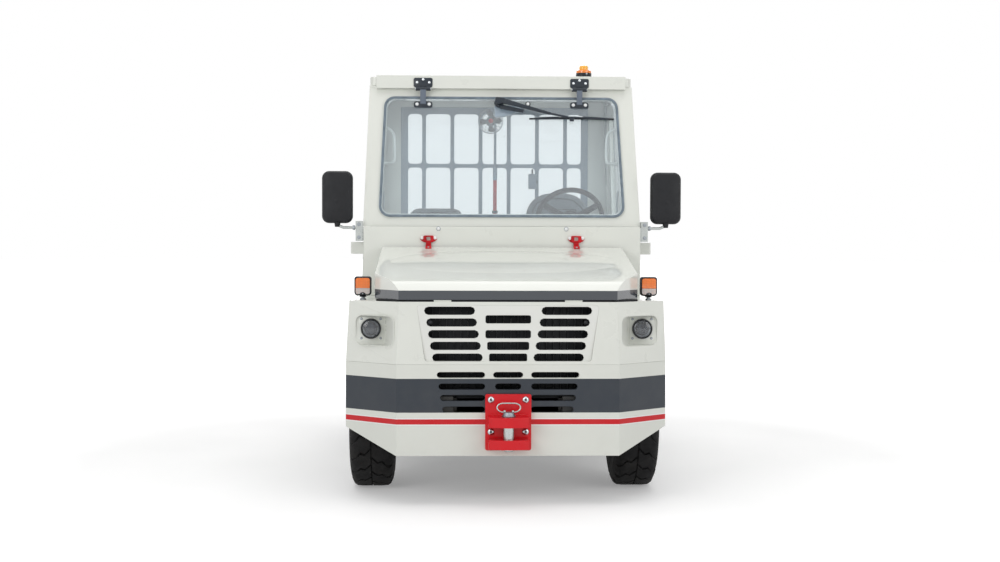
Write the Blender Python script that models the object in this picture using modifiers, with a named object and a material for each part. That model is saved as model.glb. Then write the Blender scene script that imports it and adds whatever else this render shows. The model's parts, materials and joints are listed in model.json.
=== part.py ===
"""Airport baggage tug: a short, heavy tractor with a two-seat cab, a tilting bonnet and a tow hitch at each end.

Run with: blender --background --python part.py. Units are metres, +Z is up, the tug faces -Y.
All pieces hang on an empty at the front bumper's face, so their own coordinates are
X across (+X is the driver's side), Y behind the bumper's face, and Z above the ground.
"""

import math

import bmesh
import bpy
from mathutils import Euler, Matrix, Vector

# Driving dimensions
BODY_LENGTH = 2.86
HITCH_REACH = 0.115
WIDTH = 1.502
CAB_HEIGHT = 2.045
WHEELBASE = 1.65
FRONT_AXLE = 0.60
TYRE_RADIUS = 0.335
TYRE_WIDTH = 0.212
WHEEL_X = 0.638
TURN_STEPS = 24
GAP = 0.0003
SEAM = 0.008

# Worked out from them
FRONT = -(BODY_LENGTH / 2)
HALF = WIDTH / 2
REAR_AXLE = FRONT_AXLE + WHEELBASE
AXLE_Z = TYRE_RADIUS * math.cos(math.pi / TURN_STEPS)
RAIL_TOP = 0.50
RAIL_BOTTOM = 0.40
RAIL_X = 0.28
RAIL_WIDTH = 0.06

# Nose
BUMPER_BOTTOM = 0.229
BUMPER_TOP = 0.648
BUMPER_PLATE = 0.03
BEND_X = 0.51
BEVEL_BACK = 0.20
CORNER_RISE = 0.112
FASCIA_PLATE = 0.025
WING_TOP = 0.933
SIDE_LEAN = 0.067
ARCH_RADIUS = 0.40
REAR_ARCH_RADIUS = 0.385

# Bonnet
BONNET_BOTTOM = WING_TOP + SEAM
LIP_TOP = 0.984
BONNET_FRONT = 0.02
BONNET_REAR = 0.685
BONNET_BREAK = (0.13, 1.042)
BONNET_REAR_Z = 1.176
BONNET_SKIN = 0.008
BONNET_BARREL = 0.0045
BONNET_AXIS = (BONNET_FRONT + BONNET_SKIN / 2, BONNET_BOTTOM - BONNET_BARREL - GAP)

# Cab: the windscreen plane leans back by RAKE, and the sides lean in by LEAN, metres per metre
COWL_FRONT = 0.70
COWL_TOP = 1.279
COWL_X = 0.694
RAKE = 0.25
LEAN = 0.0342
PILLAR_DEPTH = 0.075
SHOULDER_Z = 1.31
SHOULDER_S = 0.75
SHOULDER_X = 0.697
DOOR_REAR = 1.765
DOOR_TOP = 1.962
DOOR_BOTTOM = 0.62
DOOR_SKIN = 0.034
REAR_WALL = 1.84
FRAME_TOP = 2.0
FLOOR_TOP = 0.50
DECK_TOP = 0.93
HINGE_X = 0.755
HINGE_S = 0.83
STEER_X = 0.50


def screen_s(z):
    """How far behind the bumper the windscreen plane is at height z."""
    return SHOULDER_S + (z - SHOULDER_Z) * RAKE


def side_x(z):
    """The cab side's distance from the centre at height z."""
    return SHOULDER_X - (z - SHOULDER_Z) * LEAN


# ---------------------------------------------------------------- tools

for old in list(bpy.data.objects):
    bpy.data.objects.remove(old)
parts = bpy.data.collections.new("baggage_tug")
cutters = bpy.data.collections.new("cutters")
bpy.context.scene.collection.children.link(parts)
bpy.context.scene.collection.children.link(cutters)
cutters.hide_render = True

tug = bpy.data.objects.new("bumper_face", None)
tug.location = (0, FRONT, 0)
parts.objects.link(tug)

# Columns: red, green, blue, roughness, metallic, alpha
LOOKS = {
    "body_white": (0.80, 0.81, 0.78, 0.35, 0.0, 1.0),
    "grille_white": (0.78, 0.79, 0.77, 0.40, 0.0, 1.0),
    "hitch_red": (0.55, 0.02, 0.03, 0.45, 0.0, 1.0),
    "chassis_black": (0.03, 0.03, 0.03, 0.60, 0.0, 1.0),
    "black_plastic": (0.03, 0.03, 0.035, 0.50, 0.0, 1.0),
    "interior_grey": (0.25, 0.27, 0.28, 0.60, 0.0, 1.0),
    "guard_blue_grey": (0.16, 0.20, 0.24, 0.50, 0.0, 1.0),
    "seat_grey": (0.22, 0.24, 0.26, 0.80, 0.0, 1.0),
    "tyre": (0.02, 0.02, 0.02, 0.85, 0.0, 1.0),
    "rim_white": (0.75, 0.76, 0.74, 0.40, 0.0, 1.0),
    "steel": (0.55, 0.56, 0.57, 0.35, 1.0, 1.0),
    "engine_grey": (0.12, 0.13, 0.14, 0.60, 0.3, 1.0),
    "glass": (0.60, 0.68, 0.66, 0.05, 0.0, 0.35),
    "lamp_clear": (0.85, 0.87, 0.88, 0.10, 0.0, 1.0),
    "amber": (0.95, 0.40, 0.03, 0.20, 0.0, 1.0),
    "lamp_red": (0.60, 0.02, 0.02, 0.20, 0.0, 1.0),
}


def material(look):
    """The Principled BSDF material of this row of LOOKS, made once."""
    if look in bpy.data.materials:
        return bpy.data.materials[look]
    red, green, blue, roughness, metallic, alpha = LOOKS[look]
    made = bpy.data.materials.new(look)
    made.use_nodes = True
    shader = made.node_tree.nodes["Principled BSDF"]
    shader.inputs["Base Color"].default_value = (red, green, blue, 1)
    shader.inputs["Roughness"].default_value = roughness
    shader.inputs["Metallic"].default_value = metallic
    shader.inputs["Alpha"].default_value = alpha
    return made


def place(obj, look, at=(0, 0, 0), turn=(0, 0, 0)):
    """Gives a finished piece its material, its parent and its place, and shades it smooth."""
    obj.data.materials.clear()
    obj.data.materials.append(material(look))
    obj.parent = tug
    obj.location = at
    obj.rotation_euler = turn
    obj.data.shade_smooth()
    obj.data.set_sharp_from_angle(angle=math.radians(35))
    return obj


def mesh_object(name, mesh):
    obj = bpy.data.objects.new(name, mesh)
    parts.objects.link(obj)
    return obj


def from_bmesh(name, bm):
    mesh = bpy.data.meshes.new(name)
    bm.to_mesh(mesh)
    bm.free()
    return mesh_object(name, mesh)


def box(name, x, y, z):
    """A box between the pairs x, y and z."""
    bm = bmesh.new()
    size = (x[1] - x[0], y[1] - y[0], z[1] - z[0])
    centre = ((x[0] + x[1]) / 2, (y[0] + y[1]) / 2, (z[0] + z[1]) / 2)
    bmesh.ops.create_cube(bm, size=1, matrix=Matrix.Translation(centre) @ Matrix.Diagonal((*size, 1)))
    return from_bmesh(name, bm)


def rod(name, start, end, radius, sides=16):
    """A round bar between two points."""
    start, end = Vector(start), Vector(end)
    along = end - start
    facing = along.to_track_quat("Z", "Y").to_matrix().to_4x4()
    bm = bmesh.new()
    bmesh.ops.create_cone(
        bm, cap_ends=True, segments=sides, radius1=radius, radius2=radius, depth=along.length,
        matrix=Matrix.Translation((start + end) / 2) @ facing)
    return from_bmesh(name, bm)


def bake(obj):
    """Replaces an object by a mesh object of its evaluated shape, with loose caps welded."""
    bpy.context.view_layer.update()
    graph = bpy.context.evaluated_depsgraph_get()
    mesh = bpy.data.meshes.new_from_object(obj.evaluated_get(graph))
    name, matrix = obj.name, obj.matrix_world.copy()
    bpy.data.objects.remove(obj)
    bm = bmesh.new()
    bm.from_mesh(mesh)
    bmesh.ops.remove_doubles(bm, verts=bm.verts, dist=1e-5)
    bmesh.ops.transform(bm, matrix=matrix, verts=bm.verts)
    bmesh.ops.recalc_face_normals(bm, faces=bm.faces)
    bm.to_mesh(mesh)
    bm.free()
    return mesh_object(name, mesh)


def combine(obj, others, operation):
    """Applies one Boolean for each of the others, and removes them."""
    for other in others:
        modifier = obj.modifiers.new(other.name, "BOOLEAN")
        modifier.operation = operation
        modifier.solver = "EXACT"
        modifier.object = other
    obj = bake(obj)
    for other in others:
        bpy.data.objects.remove(other)
    return obj


def join(obj, *others):
    return combine(obj, others, "UNION")


def cut(obj, *others):
    return combine(obj, others, "DIFFERENCE")


def outline_object(name, outlines, thickness):
    """A flat shape in X and Y, centred on Z = 0; an outline inside another is a hole."""
    curve = bpy.data.curves.new(name, "CURVE")
    curve.dimensions = "2D"
    curve.fill_mode = "BOTH"
    curve.extrude = thickness / 2
    for points in outlines:
        spline = curve.splines.new("POLY")
        spline.points.add(len(points) - 1)
        for point, (u, v) in zip(spline.points, points):
            point.co = (u, v, 0, 1)
        spline.use_cyclic_u = True
    obj = bpy.data.objects.new(name, curve)
    parts.objects.link(obj)
    return obj


# Each plane's turn takes the outline's X and Y to its own two axes
PLANES = {
    "front": Euler((math.pi / 2, 0, 0)).to_matrix().to_4x4(),
    "side": Euler((math.pi / 2, 0, math.pi / 2)).to_matrix().to_4x4(),
    "plan": Matrix.Identity(4),
}
NORMALS = {"front": Vector((0, 1, 0)), "side": Vector((1, 0, 0)), "plan": Vector((0, 0, 1))}


def plate(name, plane, outlines, low, high):
    """A plate whose outlines lie in a plane, from low to high along the plane's normal."""
    obj = outline_object(name, outlines, high - low)
    obj.matrix_world = Matrix.Translation(NORMALS[plane] * (low + high) / 2) @ PLANES[plane]
    return bake(obj)


def turned(name, profile, steps=TURN_STEPS, phase=0.0):
    """A ring or disc turned about X from a closed profile of (x, radius); the axis itself takes no edge."""
    bm = bmesh.new()
    dots = [bm.verts.new((x, 0, radius)) for x, radius in profile]
    for first, second in zip(dots, dots[1:] + dots[:1]):
        if first.co.z or second.co.z:
            bm.edges.new((first, second))
    bmesh.ops.rotate(bm, verts=bm.verts, cent=(0, 0, 0), matrix=Matrix.Rotation(phase, 3, "X"))
    obj = from_bmesh(name, bm)
    screw = obj.modifiers.new("turn", "SCREW")
    screw.axis = "X"
    screw.steps = steps
    screw.render_steps = steps
    screw.use_merge_vertices = True
    screw.merge_threshold = 0.00001
    return bake(obj)


def pipe(name, points, radius, cyclic=False):
    """A round tube through the points."""
    curve = bpy.data.curves.new(name, "CURVE")
    curve.dimensions = "3D"
    curve.bevel_depth = radius
    curve.bevel_resolution = 2
    curve.use_fill_caps = not cyclic
    spline = curve.splines.new("POLY")
    spline.points.add(len(points) - 1)
    for point, co in zip(spline.points, points):
        point.co = (*co, 1)
    spline.use_cyclic_u = cyclic
    obj = bpy.data.objects.new(name, curve)
    parts.objects.link(obj)
    return bake(obj)


def arc(centre, radius, start, end, steps):
    """Points on a circle from one angle to another, in degrees."""
    angles = [math.radians(start + (end - start) * step / steps) for step in range(steps + 1)]
    return [(centre[0] + radius * math.cos(a), centre[1] + radius * math.sin(a)) for a in angles]


def rounded(corners, radius, steps=4):
    """An outline whose corners are arcs of one radius."""
    points = []
    for index, corner in enumerate(corners):
        here = Vector(corner)
        before = (Vector(corners[index - 1]) - here).normalized()
        after = (Vector(corners[(index + 1) % len(corners)]) - here).normalized()
        half = before.angle(after) / 2
        centre = here + (before + after).normalized() * (radius / math.sin(half))
        first = here + before * (radius / math.tan(half)) - centre
        last = here + after * (radius / math.tan(half)) - centre
        sweep = first.angle_signed(last)
        for step in range(steps + 1):
            spoke = first.copy()
            spoke.rotate(Matrix.Rotation(-sweep * step / steps, 2))
            points.append(tuple(centre + spoke))
    return points


def rectangle(x, y):
    return [(x[0], y[0]), (x[1], y[0]), (x[1], y[1]), (x[0], y[1])]


def offset(points, distance, closed=True):
    """The line moved to its left by a distance, with mitred corners."""
    moved = []
    last = len(points) - 1
    for index, point in enumerate(points):
        here = Vector(point)
        into = here - Vector(points[index - 1]) if closed or index > 0 else None
        out = Vector(points[(index + 1) % len(points)]) - here if closed or index < last else None
        into = (into or out).normalized()
        out = (out or into).normalized()
        left = Vector((-into.y, into.x)) + Vector((-out.y, out.x))
        left /= 1 + into.dot(out)
        moved.append(tuple(here + left * distance))
    return moved


def band(path, thickness):
    """The closed outline of a strip whose outer edge is the path and which lies to its left."""
    return path + offset(path, thickness, closed=False)[::-1]


def slot(left, right, middle, height):
    """A level slot with full-round ends."""
    radius = height / 2
    return (arc((right - radius, middle), radius, -90, 90, 4)
            + arc((left + radius, middle), radius, 90, 270, 4))


def mirrored(points):
    """The same outline on the other side of X = 0."""
    return [(-x, y) for x, y in reversed(points)]


def both_sides():
    """The name ending and the sign of X of each side."""
    return (("left", 1), ("right", -1))


def flip(obj):
    """Mirrors an object's mesh across X = 0."""
    bm = bmesh.new()
    bm.from_mesh(obj.data)
    bmesh.ops.scale(bm, vec=(-1, 1, 1), verts=bm.verts)
    bmesh.ops.reverse_faces(bm, faces=bm.faces)
    bm.to_mesh(obj.data)
    bm.free()
    return obj


def pair(name, build, look, at=(0, 0, 0), turn=(0, 0, 0)):
    """Builds a piece for the left side and its mirror image for the right."""
    for ending, sign in both_sides():
        obj = build(f"{name}_{ending}")
        if sign < 0:
            flip(obj)
        place(obj, look, (sign * at[0], at[1], at[2]), (turn[0], sign * turn[1], sign * turn[2]))


# ---------------------------------------------------------------- chassis

RAIL_FRONT = BUMPER_PLATE + GAP
RAIL_REAR = BODY_LENGTH - BUMPER_PLATE - GAP

# Crossmembers. Columns: start and end behind the bumper's face
CROSSMEMBERS = ((0.06, 0.10), (0.98, 1.04), (1.94, 2.00), (2.60, 2.66))


def chassis():
    rails = []
    for side, sign in both_sides():
        inner, outer = sorted((sign * (RAIL_X - RAIL_WIDTH / 2), sign * (RAIL_X + RAIL_WIDTH / 2)))
        rails.append(box("rail", (inner, outer), (RAIL_FRONT, RAIL_REAR), (RAIL_BOTTOM, RAIL_TOP)))
    reach = RAIL_X - RAIL_WIDTH / 4
    for start, end in CROSSMEMBERS:
        rails.append(box("crossmember", (-reach, reach), (start, end), (RAIL_BOTTOM + 0.01, RAIL_TOP - 0.01)))
    frame = place(join(*rails), "chassis_black")
    frame.name = "chassis_frame"


BUMPER_PATH = [(-HALF, BEVEL_BACK + 0.04), (-HALF, BEVEL_BACK), (-BEND_X, 0),
               (BEND_X, 0), (HALF, BEVEL_BACK), (HALF, BEVEL_BACK + 0.04)]
FASCIA_RETURN = 0.02
FASCIA_PATH = [(-HALF, BEVEL_BACK + FASCIA_RETURN), (-HALF, BEVEL_BACK), (-BEND_X, 0),
               (BEND_X, 0), (HALF, BEVEL_BACK), (HALF, BEVEL_BACK + FASCIA_RETURN)]

# Slots in the bumper. Columns: height, and the two ends of each slot in the row
BUMPER_SLOTS = (
    (0.600, ((-0.326, -0.105), (-0.069, 0.069), (0.105, 0.326))),
    (0.547, ((-0.318, -0.105), (-0.060, 0.060), (0.105, 0.318))),
    (0.495, ((-0.310, -0.105), (0.105, 0.310))),
    (0.442, ((-0.300, -0.105), (0.105, 0.300))),
)
BUMPER_SLOT_HEIGHT = 0.027


def front_bumper():
    """A bent steel plate with slots and with its outer lower corners cut up."""
    bumper = plate("front_bumper", "plan", [band(BUMPER_PATH, BUMPER_PLATE)], BUMPER_BOTTOM, BUMPER_TOP)
    slots = [slot(left, right, middle, BUMPER_SLOT_HEIGHT)
             for middle, row in BUMPER_SLOTS for left, right in row]
    rise = CORNER_RISE / (HALF - BEND_X)
    corner = [(BEND_X, BUMPER_BOTTOM), (BEND_X, BUMPER_BOTTOM - 0.05), (HALF + 0.05, BUMPER_BOTTOM - 0.05),
              (HALF + 0.05, BUMPER_BOTTOM + rise * (HALF + 0.05 - BEND_X))]
    cutter = plate("slots", "front", slots, -0.05, 0.08)
    corners = [plate("corner", "front", [outline], -0.05, 0.30) for outline in (corner, mirrored(corner))]
    place(cut(bumper, cutter, *corners), "body_white")


GRILLE_TOP = 0.918
GRILLE_BOTTOM = 0.662
GRILLE_TOP_X = 0.418
GRILLE_BOTTOM_X = 0.380

# Slots in the grille. Columns: height, inner end and outer end of the two long slots, end of the middle slot
GRILLE_SLOTS = (
    (0.8925, 0.152, 0.384, None),
    (0.8390, 0.143, 0.374, 0.104),
    (0.7855, 0.134, 0.366, 0.104),
    (0.7320, 0.125, 0.357, 0.096),
    (0.6785, 0.116, 0.347, 0.087),
)
GRILLE_SLOT_HEIGHT = 0.0375
MIDDLE_SLOT_RISE = 0.0145


def grille_outline(margin):
    half = margin * 1.2
    return rounded([(-GRILLE_BOTTOM_X - half, GRILLE_BOTTOM - margin),
                    (GRILLE_BOTTOM_X + half, GRILLE_BOTTOM - margin),
                    (GRILLE_TOP_X + half, GRILLE_TOP + margin), (-GRILLE_TOP_X - half, GRILLE_TOP + margin)],
                   0.012 + margin, 2)


def grille():
    holes = []
    for middle, inner, outer, centre in GRILLE_SLOTS:
        right = slot(inner, outer, middle, GRILLE_SLOT_HEIGHT)
        holes += [right, mirrored(right)]
        if centre:
            height = middle + (MIDDLE_SLOT_RISE if middle > 0.8 else 0)
            holes.append(rounded(rectangle((-centre, centre),
                                           (height - GRILLE_SLOT_HEIGHT / 2,
                                            height + GRILLE_SLOT_HEIGHT / 2)),
                                 0.008, 2))
    panel = plate("grille_panel", "front", [grille_outline(-GAP)] + holes, 0.012, 0.024)
    place(panel, "grille_white")


POCKET_X = (0.520, 0.702)
POCKET_Z = (0.726, 0.867)
POCKET_ROUND = 0.030
POCKET_WALL = 0.004
POCKET_FLOOR = 0.152
POCKET_BACK = 0.160
LAMP_CENTRE = (0.631, 0.803)
LAMP_RADIUS = 0.047


def pocket_outline(margin):
    return rounded(rectangle((POCKET_X[0] + margin, POCKET_X[1] - margin),
                             (POCKET_Z[0] + margin, POCKET_Z[1] - margin)),
                   POCKET_ROUND - margin, 4)


TOP_SET_BACK = 0.014
TOP_SQUEEZE = 0.31


def top_s(s):
    """Where a point of the nose's lower edge, s behind the bumper's face, comes at the nose's top."""
    return s + TOP_SET_BACK - TOP_SQUEEZE * s


def tapered(obj, low, high):
    """Leans the top of a front piece in and back, from height low to height high."""
    for vertex in obj.data.vertices:
        part = (vertex.co.z - low) / (high - low)
        vertex.co.x *= 1 - part * SIDE_LEAN * (high - low) / HALF
        vertex.co.y += part * (top_s(vertex.co.y) - vertex.co.y)
    return obj


def nose():
    fascia = plate("front_fascia", "plan", [band(FASCIA_PATH, FASCIA_PLATE)], BUMPER_TOP + GAP, WING_TOP)
    fascia = tapered(fascia, BUMPER_TOP, WING_TOP)
    hole = plate("grille_hole", "front", [grille_outline(0)], -0.05, 0.08)
    pockets = [plate("pocket", "front", [outline], -0.05, 0.30)
               for outline in (pocket_outline(0), mirrored(pocket_outline(0)))]
    fascia = cut(fascia, hole, *pockets)
    barrels = [rod("barrel", (x - 0.04, *BONNET_AXIS), (x + 0.04, *BONNET_AXIS), BONNET_BARREL, 12)
               for x in (-0.3, 0.3)]
    place(join(fascia, *barrels), "body_white")


def headlight(name):
    """A tub that faces straight forward in the slanting corner of the fascia, with a round lamp on its floor."""
    tub = plate(name, "front", [pocket_outline(GAP)], 0, POCKET_BACK)
    hollow = plate("hollow", "front", [pocket_outline(POCKET_WALL)], -0.05, POCKET_FLOOR)
    slope = BEVEL_BACK / (HALF - BEND_X)
    reach = 0.3
    front = [(BEND_X - reach, -reach * slope), (BEND_X + reach, reach * slope), (BEND_X + reach, -1),
             (BEND_X - reach, -1)]
    front = [(x, s + 0.003) for x, s in front]
    tub = cut(tub, hollow, plate("front", "plan", [front], 0, 1))
    x, z = LAMP_CENTRE
    return join(tub, rod("lamp", (x, POCKET_FLOOR + 0.004, z), (x, POCKET_FLOOR - 0.018, z), LAMP_RADIUS, 24))


LAMP_X = 0.673
LAMP_S = 0.215
LAMP_Z = 0.997
LAMP_WIDTH = 0.080
LAMP_HEIGHT = 0.090


def turn_lamp(name):
    head = plate(name, "front", [rounded(rectangle((-LAMP_WIDTH / 2, LAMP_WIDTH / 2),
                                                   (-LAMP_HEIGHT / 2, LAMP_HEIGHT / 2)), 0.016, 3)], 0, 0.05)
    post_top = -LAMP_HEIGHT / 2 + 0.01
    return join(head, rod("post", (0, 0.025, WING_TOP + GAP - LAMP_Z), (0, 0.025, post_top), 0.018, 12))


def arch_edge(centre, radius, start_z, end_z, steps=12):
    """The wheel arch from the front at start_z, over the wheel, to the back at end_z, as (s, z)."""
    start = 180 - math.degrees(math.asin((start_z - AXLE_Z) / radius))
    end = math.degrees(math.asin((end_z - AXLE_Z) / radius))
    return arc((centre, AXLE_Z), radius, start, end, steps)


SIDE_PLATE = 0.02
WING_REAR = HINGE_S - 0.001


def wing(name):
    """The shelf beside the bonnet and the outer side down to the wheel arch, leaning in."""
    reach = math.sqrt(ARCH_RADIUS**2 - (WING_REAR - FRONT_AXLE) ** 2)
    fender = arch_edge(FRONT_AXLE, ARCH_RADIUS, BUMPER_TOP + 0.005, AXLE_Z + reach)
    front = BEVEL_BACK + FASCIA_RETURN
    outline = [(front + GAP, BUMPER_TOP + 0.005)] + fender + [(WING_REAR, WING_TOP),
                                                              (top_s(front) + 2 * GAP, WING_TOP)]
    side = plate("side", "side", [outline[::-1]], -SIDE_PLATE, 0)
    for vertex in side.data.vertices:
        vertex.co.x += HALF - (vertex.co.z - BUMPER_TOP) * SIDE_LEAN
    shelf = plate("shelf", "plan", [[(0.59, 0.118), (0.700, 0.182), (0.722, 0.182), (0.722, WING_REAR),
                                     (0.59, WING_REAR)]], WING_TOP - 0.012, WING_TOP)
    joined = join(side, shelf)
    lower_hinge = box("leaf", (0.735, HINGE_X), (0.785, HINGE_S - HINGE_BARREL - 0.0004), LOWER_HINGE)
    joined = join(joined, lower_hinge)
    joined.name = name
    return joined


HINGE_BARREL = 0.009
LOWER_HINGE = (0.755, 0.815)
UPPER_HINGE = (1.14, 1.20)


def bonnet():
    """A thin shell: the side profile meets the plan, and the same shape drawn in makes the hollow."""
    def block(name, inset, below, behind):
        front = BONNET_FRONT + inset
        profile = [(front, BONNET_BOTTOM - below), (front, LIP_TOP - inset * 0.6)]
        profile += [(BONNET_BREAK[0] * part + front * (1 - part),
                     LIP_TOP - inset + (BONNET_BREAK[1] - LIP_TOP) * math.sin(part * math.pi / 2))
                    for part in (0.3, 0.65, 1.0)]
        profile += [(BONNET_REAR + behind, BONNET_REAR_Z - inset + behind * 0.24),
                    (BONNET_REAR + behind, BONNET_BOTTOM - below)]
        side = plate(name, "side", [profile[::-1]], -HALF, HALF)
        path = [(-0.600 + inset, BONNET_REAR + behind), (-0.616 + inset, 0.200 + inset / 2),
                (-0.500 + inset / 2, front), (0.500 - inset / 2, front),
                (0.616 - inset, 0.200 + inset / 2), (0.600 - inset, BONNET_REAR + behind)]
        plan = plate("plan", "plan", [path], BONNET_BOTTOM - 0.5, BONNET_REAR_Z + 0.5)
        return combine(side, [plan], "INTERSECT")

    shell = cut(block("bonnet", 0, 0, 0), block("hollow", BONNET_SKIN, 0.1, 0.1))
    for vertex in shell.data.vertices:
        vertex.co -= Vector((0, *BONNET_AXIS))
    place(shell, "body_white", (0, *BONNET_AXIS))


# ---------------------------------------------------------------- cab

def cowl():
    """The bulkhead behind the bonnet, its two cheeks in front of the doors, and the upper hinge leaves."""
    front = box("cowl", (-COWL_X, COWL_X), (COWL_FRONT, COWL_FRONT + 0.022), (WING_TOP + GAP, COWL_TOP))
    lower = box("lower", (-0.588, 0.588), (COWL_FRONT, COWL_FRONT + 0.022), (0.73, WING_TOP + 0.02))
    middle = box("middle", (-0.335, 0.335), (COWL_FRONT, COWL_FRONT + 0.022), (RAIL_TOP + GAP, 0.75))
    others = [lower, middle]
    for ending, sign in both_sides():
        cheek = sorted((sign * COWL_X, sign * (COWL_X - 0.03)))
        others.append(box("cheek", cheek, (COWL_FRONT + 0.005, WING_REAR), (WING_TOP + GAP, COWL_TOP)))
        leaf = sorted((sign * (COWL_X - 0.01), sign * HINGE_X))
        others.append(box("leaf", leaf, (0.785, HINGE_S - HINGE_BARREL - 0.0004), UPPER_HINGE))
    place(join(front, *others), "body_white")


WHEELHOUSE_Z = 0.725
FOOTWELL_S = 1.035
FLOOR_X = 0.68


SEAT_BOX = ((-0.60, 0.60), (1.20, 1.66), (RAIL_TOP + 0.01, 0.80))


def cab_floor():
    """The floor with its wheel housings, and the box that the seats stand on."""
    sheet = 0.025
    floor = box("cab_floor", (-FLOOR_X, FLOOR_X), (FOOTWELL_S, REAR_WALL - 0.01),
                (RAIL_TOP + GAP, RAIL_TOP + sheet))
    others = [box("centre", (-0.335, 0.335), (COWL_FRONT + 0.0223, FOOTWELL_S + 0.02),
                  (RAIL_TOP + 0.002, RAIL_TOP + sheet - 0.002)), box("seat_box", *SEAT_BOX)]
    for ending, sign in both_sides():
        across = sorted((sign * 0.318, sign * FLOOR_X))
        inner = sorted((sign * 0.318, sign * 0.335))
        others.append(box("housing", across, (COWL_FRONT + 0.0223, FOOTWELL_S + sheet),
                          (WHEELHOUSE_Z - sheet, WHEELHOUSE_Z)))
        others.append(box("back", across, (FOOTWELL_S, FOOTWELL_S + sheet),
                          (RAIL_TOP + 0.01, WHEELHOUSE_Z - 0.01)))
        others.append(box("inner", inner, (COWL_FRONT + 0.0223, FOOTWELL_S + 0.01),
                          (RAIL_TOP + 0.01, WHEELHOUSE_Z - 0.01)))
    place(join(floor, *others), "interior_grey")


DASH_FACE_S = 0.93
DASH_TOP = 1.255
COLUMN_TILT = math.radians(30)
COLUMN_END = 0.045
STEERING_CENTRE = Vector((0.372, 1.10, 1.325))
COLUMN_AXIS = Vector((0, math.cos(COLUMN_TILT), math.sin(COLUMN_TILT)))


def dashboard():
    """A shelf whose face is square to the steering column, so that the column stands on it."""
    slope = math.tan(COLUMN_TILT)
    top_s = DASH_FACE_S - (DASH_TOP - 1.20) * slope
    profile = [(COWL_FRONT + 0.0223, 1.02), (DASH_FACE_S + (1.20 - 1.02) * slope, 1.02),
               (top_s, DASH_TOP), (COWL_FRONT + 0.0223, DASH_TOP)]
    shelf = plate("dashboard", "side", [profile], -0.655, 0.655)
    column = rod("column", column_point(COLUMN_END), column_point(dash_distance() + 0.01), 0.032, 16)
    place(join(shelf, column), "black_plastic")


def column_point(distance):
    """A point on the steering column's axis, this far behind the wheel's centre towards the dashboard."""
    return STEERING_CENTRE - COLUMN_AXIS * distance


def dash_distance():
    """How far the dashboard's face is from the wheel's centre, along the column."""
    on_face = Vector((STEERING_CENTRE.x, DASH_FACE_S, 1.20))
    return (STEERING_CENTRE - on_face).dot(COLUMN_AXIS)


STEERING_RADIUS = 0.170
STEERING_GRIP = 0.013


def steering_wheel():
    """The rim, three spokes and a hub, turned to face up the column."""
    rim = pipe("steering_wheel", [(*spot, 0) for spot in arc((0, 0), STEERING_RADIUS, 0, 345, 23)],
               STEERING_GRIP, cyclic=True)
    hub = rod("hub", (0, 0, GAP - COLUMN_END), (0, 0, 0.006), 0.034, 16)
    spokes = [rod("spoke", (0, 0, -0.012), (STEERING_RADIUS * math.cos(a), STEERING_RADIUS * math.sin(a), 0),
                  0.008, 8)
              for a in map(math.radians, (-90, 30, 150))]
    wheel = join(rim, hub, *spokes)
    place(wheel, "black_plastic", STEERING_CENTRE, (-(math.pi / 2 - COLUMN_TILT), 0, 0))


GLASS_BOTTOM = 1.326
GLASS_TOP = 1.944
GLASS_BOTTOM_X = 0.624
GLASS_TOP_X = 0.597
GLASS_THICKNESS = 0.008


def screen_outline(margin):
    return rounded([(-GLASS_BOTTOM_X + margin, GLASS_BOTTOM + margin),
                    (GLASS_BOTTOM_X - margin, GLASS_BOTTOM + margin),
                    (GLASS_TOP_X - margin, GLASS_TOP - margin), (-GLASS_TOP_X + margin, GLASS_TOP - margin)],
                   0.058 - margin, 4)


def raked(obj):
    """Shears a front-plane piece back along the windscreen's slope."""
    for vertex in obj.data.vertices:
        vertex.co.y += screen_s(vertex.co.z)
    return obj


def leaning(obj):
    """Shears a side-plane piece in with the cab side's lean."""
    for vertex in obj.data.vertices:
        vertex.co.x += side_x(vertex.co.z)
    return obj


def cab_frame():
    """The windscreen frame with both front pillars, the rear pillars and the roof rails."""
    bottom, top = COWL_TOP + GAP, FRAME_TOP - GAP
    ring = plate("cab_frame", "front", [[(-side_x(bottom), bottom), (side_x(bottom), bottom),
                                         (side_x(top), top), (-side_x(top), top)], screen_outline(0.016)],
                 0, PILLAR_DEPTH)
    members = []
    for ending, sign in both_sides():
        rear = leaning(box("post", (-0.05, 0), (DOOR_REAR + 0.01, REAR_WALL - 0.008),
                           (FLOOR_TOP + 0.026, top)))
        rail = leaning(box("rail", (-0.046, -0.003), (screen_s(top) + 0.01, REAR_WALL - 0.011),
                           (DOOR_TOP + SEAM, top - 0.003)))
        members += [rear, rail] if sign > 0 else [flip(rear), flip(rail)]
    place(join(raked(ring), *members), "body_white")


def windscreen():
    pane = plate("windscreen", "front", [screen_outline(0)], -GLASS_THICKNESS - GAP, -GAP)
    place(raked(pane), "glass")


ROOF_X = 0.672
HEADER_X = 0.638
HEADER_BOTTOM = 1.984
HEADER_TOP = 2.05


def roof():
    """The roof panel with the header box across its front."""
    front = screen_s(FRAME_TOP)
    panel = plate("roof", "plan", [rounded(rectangle((-ROOF_X, ROOF_X), (front, REAR_WALL + 0.03)), 0.03, 3)],
                  FRAME_TOP, CAB_HEIGHT)
    face = screen_s(HEADER_BOTTOM) - GAP
    header = box("header", (-HEADER_X, HEADER_X), (face - 0.032, face), (HEADER_BOTTOM, HEADER_TOP))
    lid = box("lid", (-HEADER_X, HEADER_X), (face - 0.005, front + 0.03), (FRAME_TOP + 0.01, HEADER_TOP))
    place(join(panel, join(header, lid)), "body_white")


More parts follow.
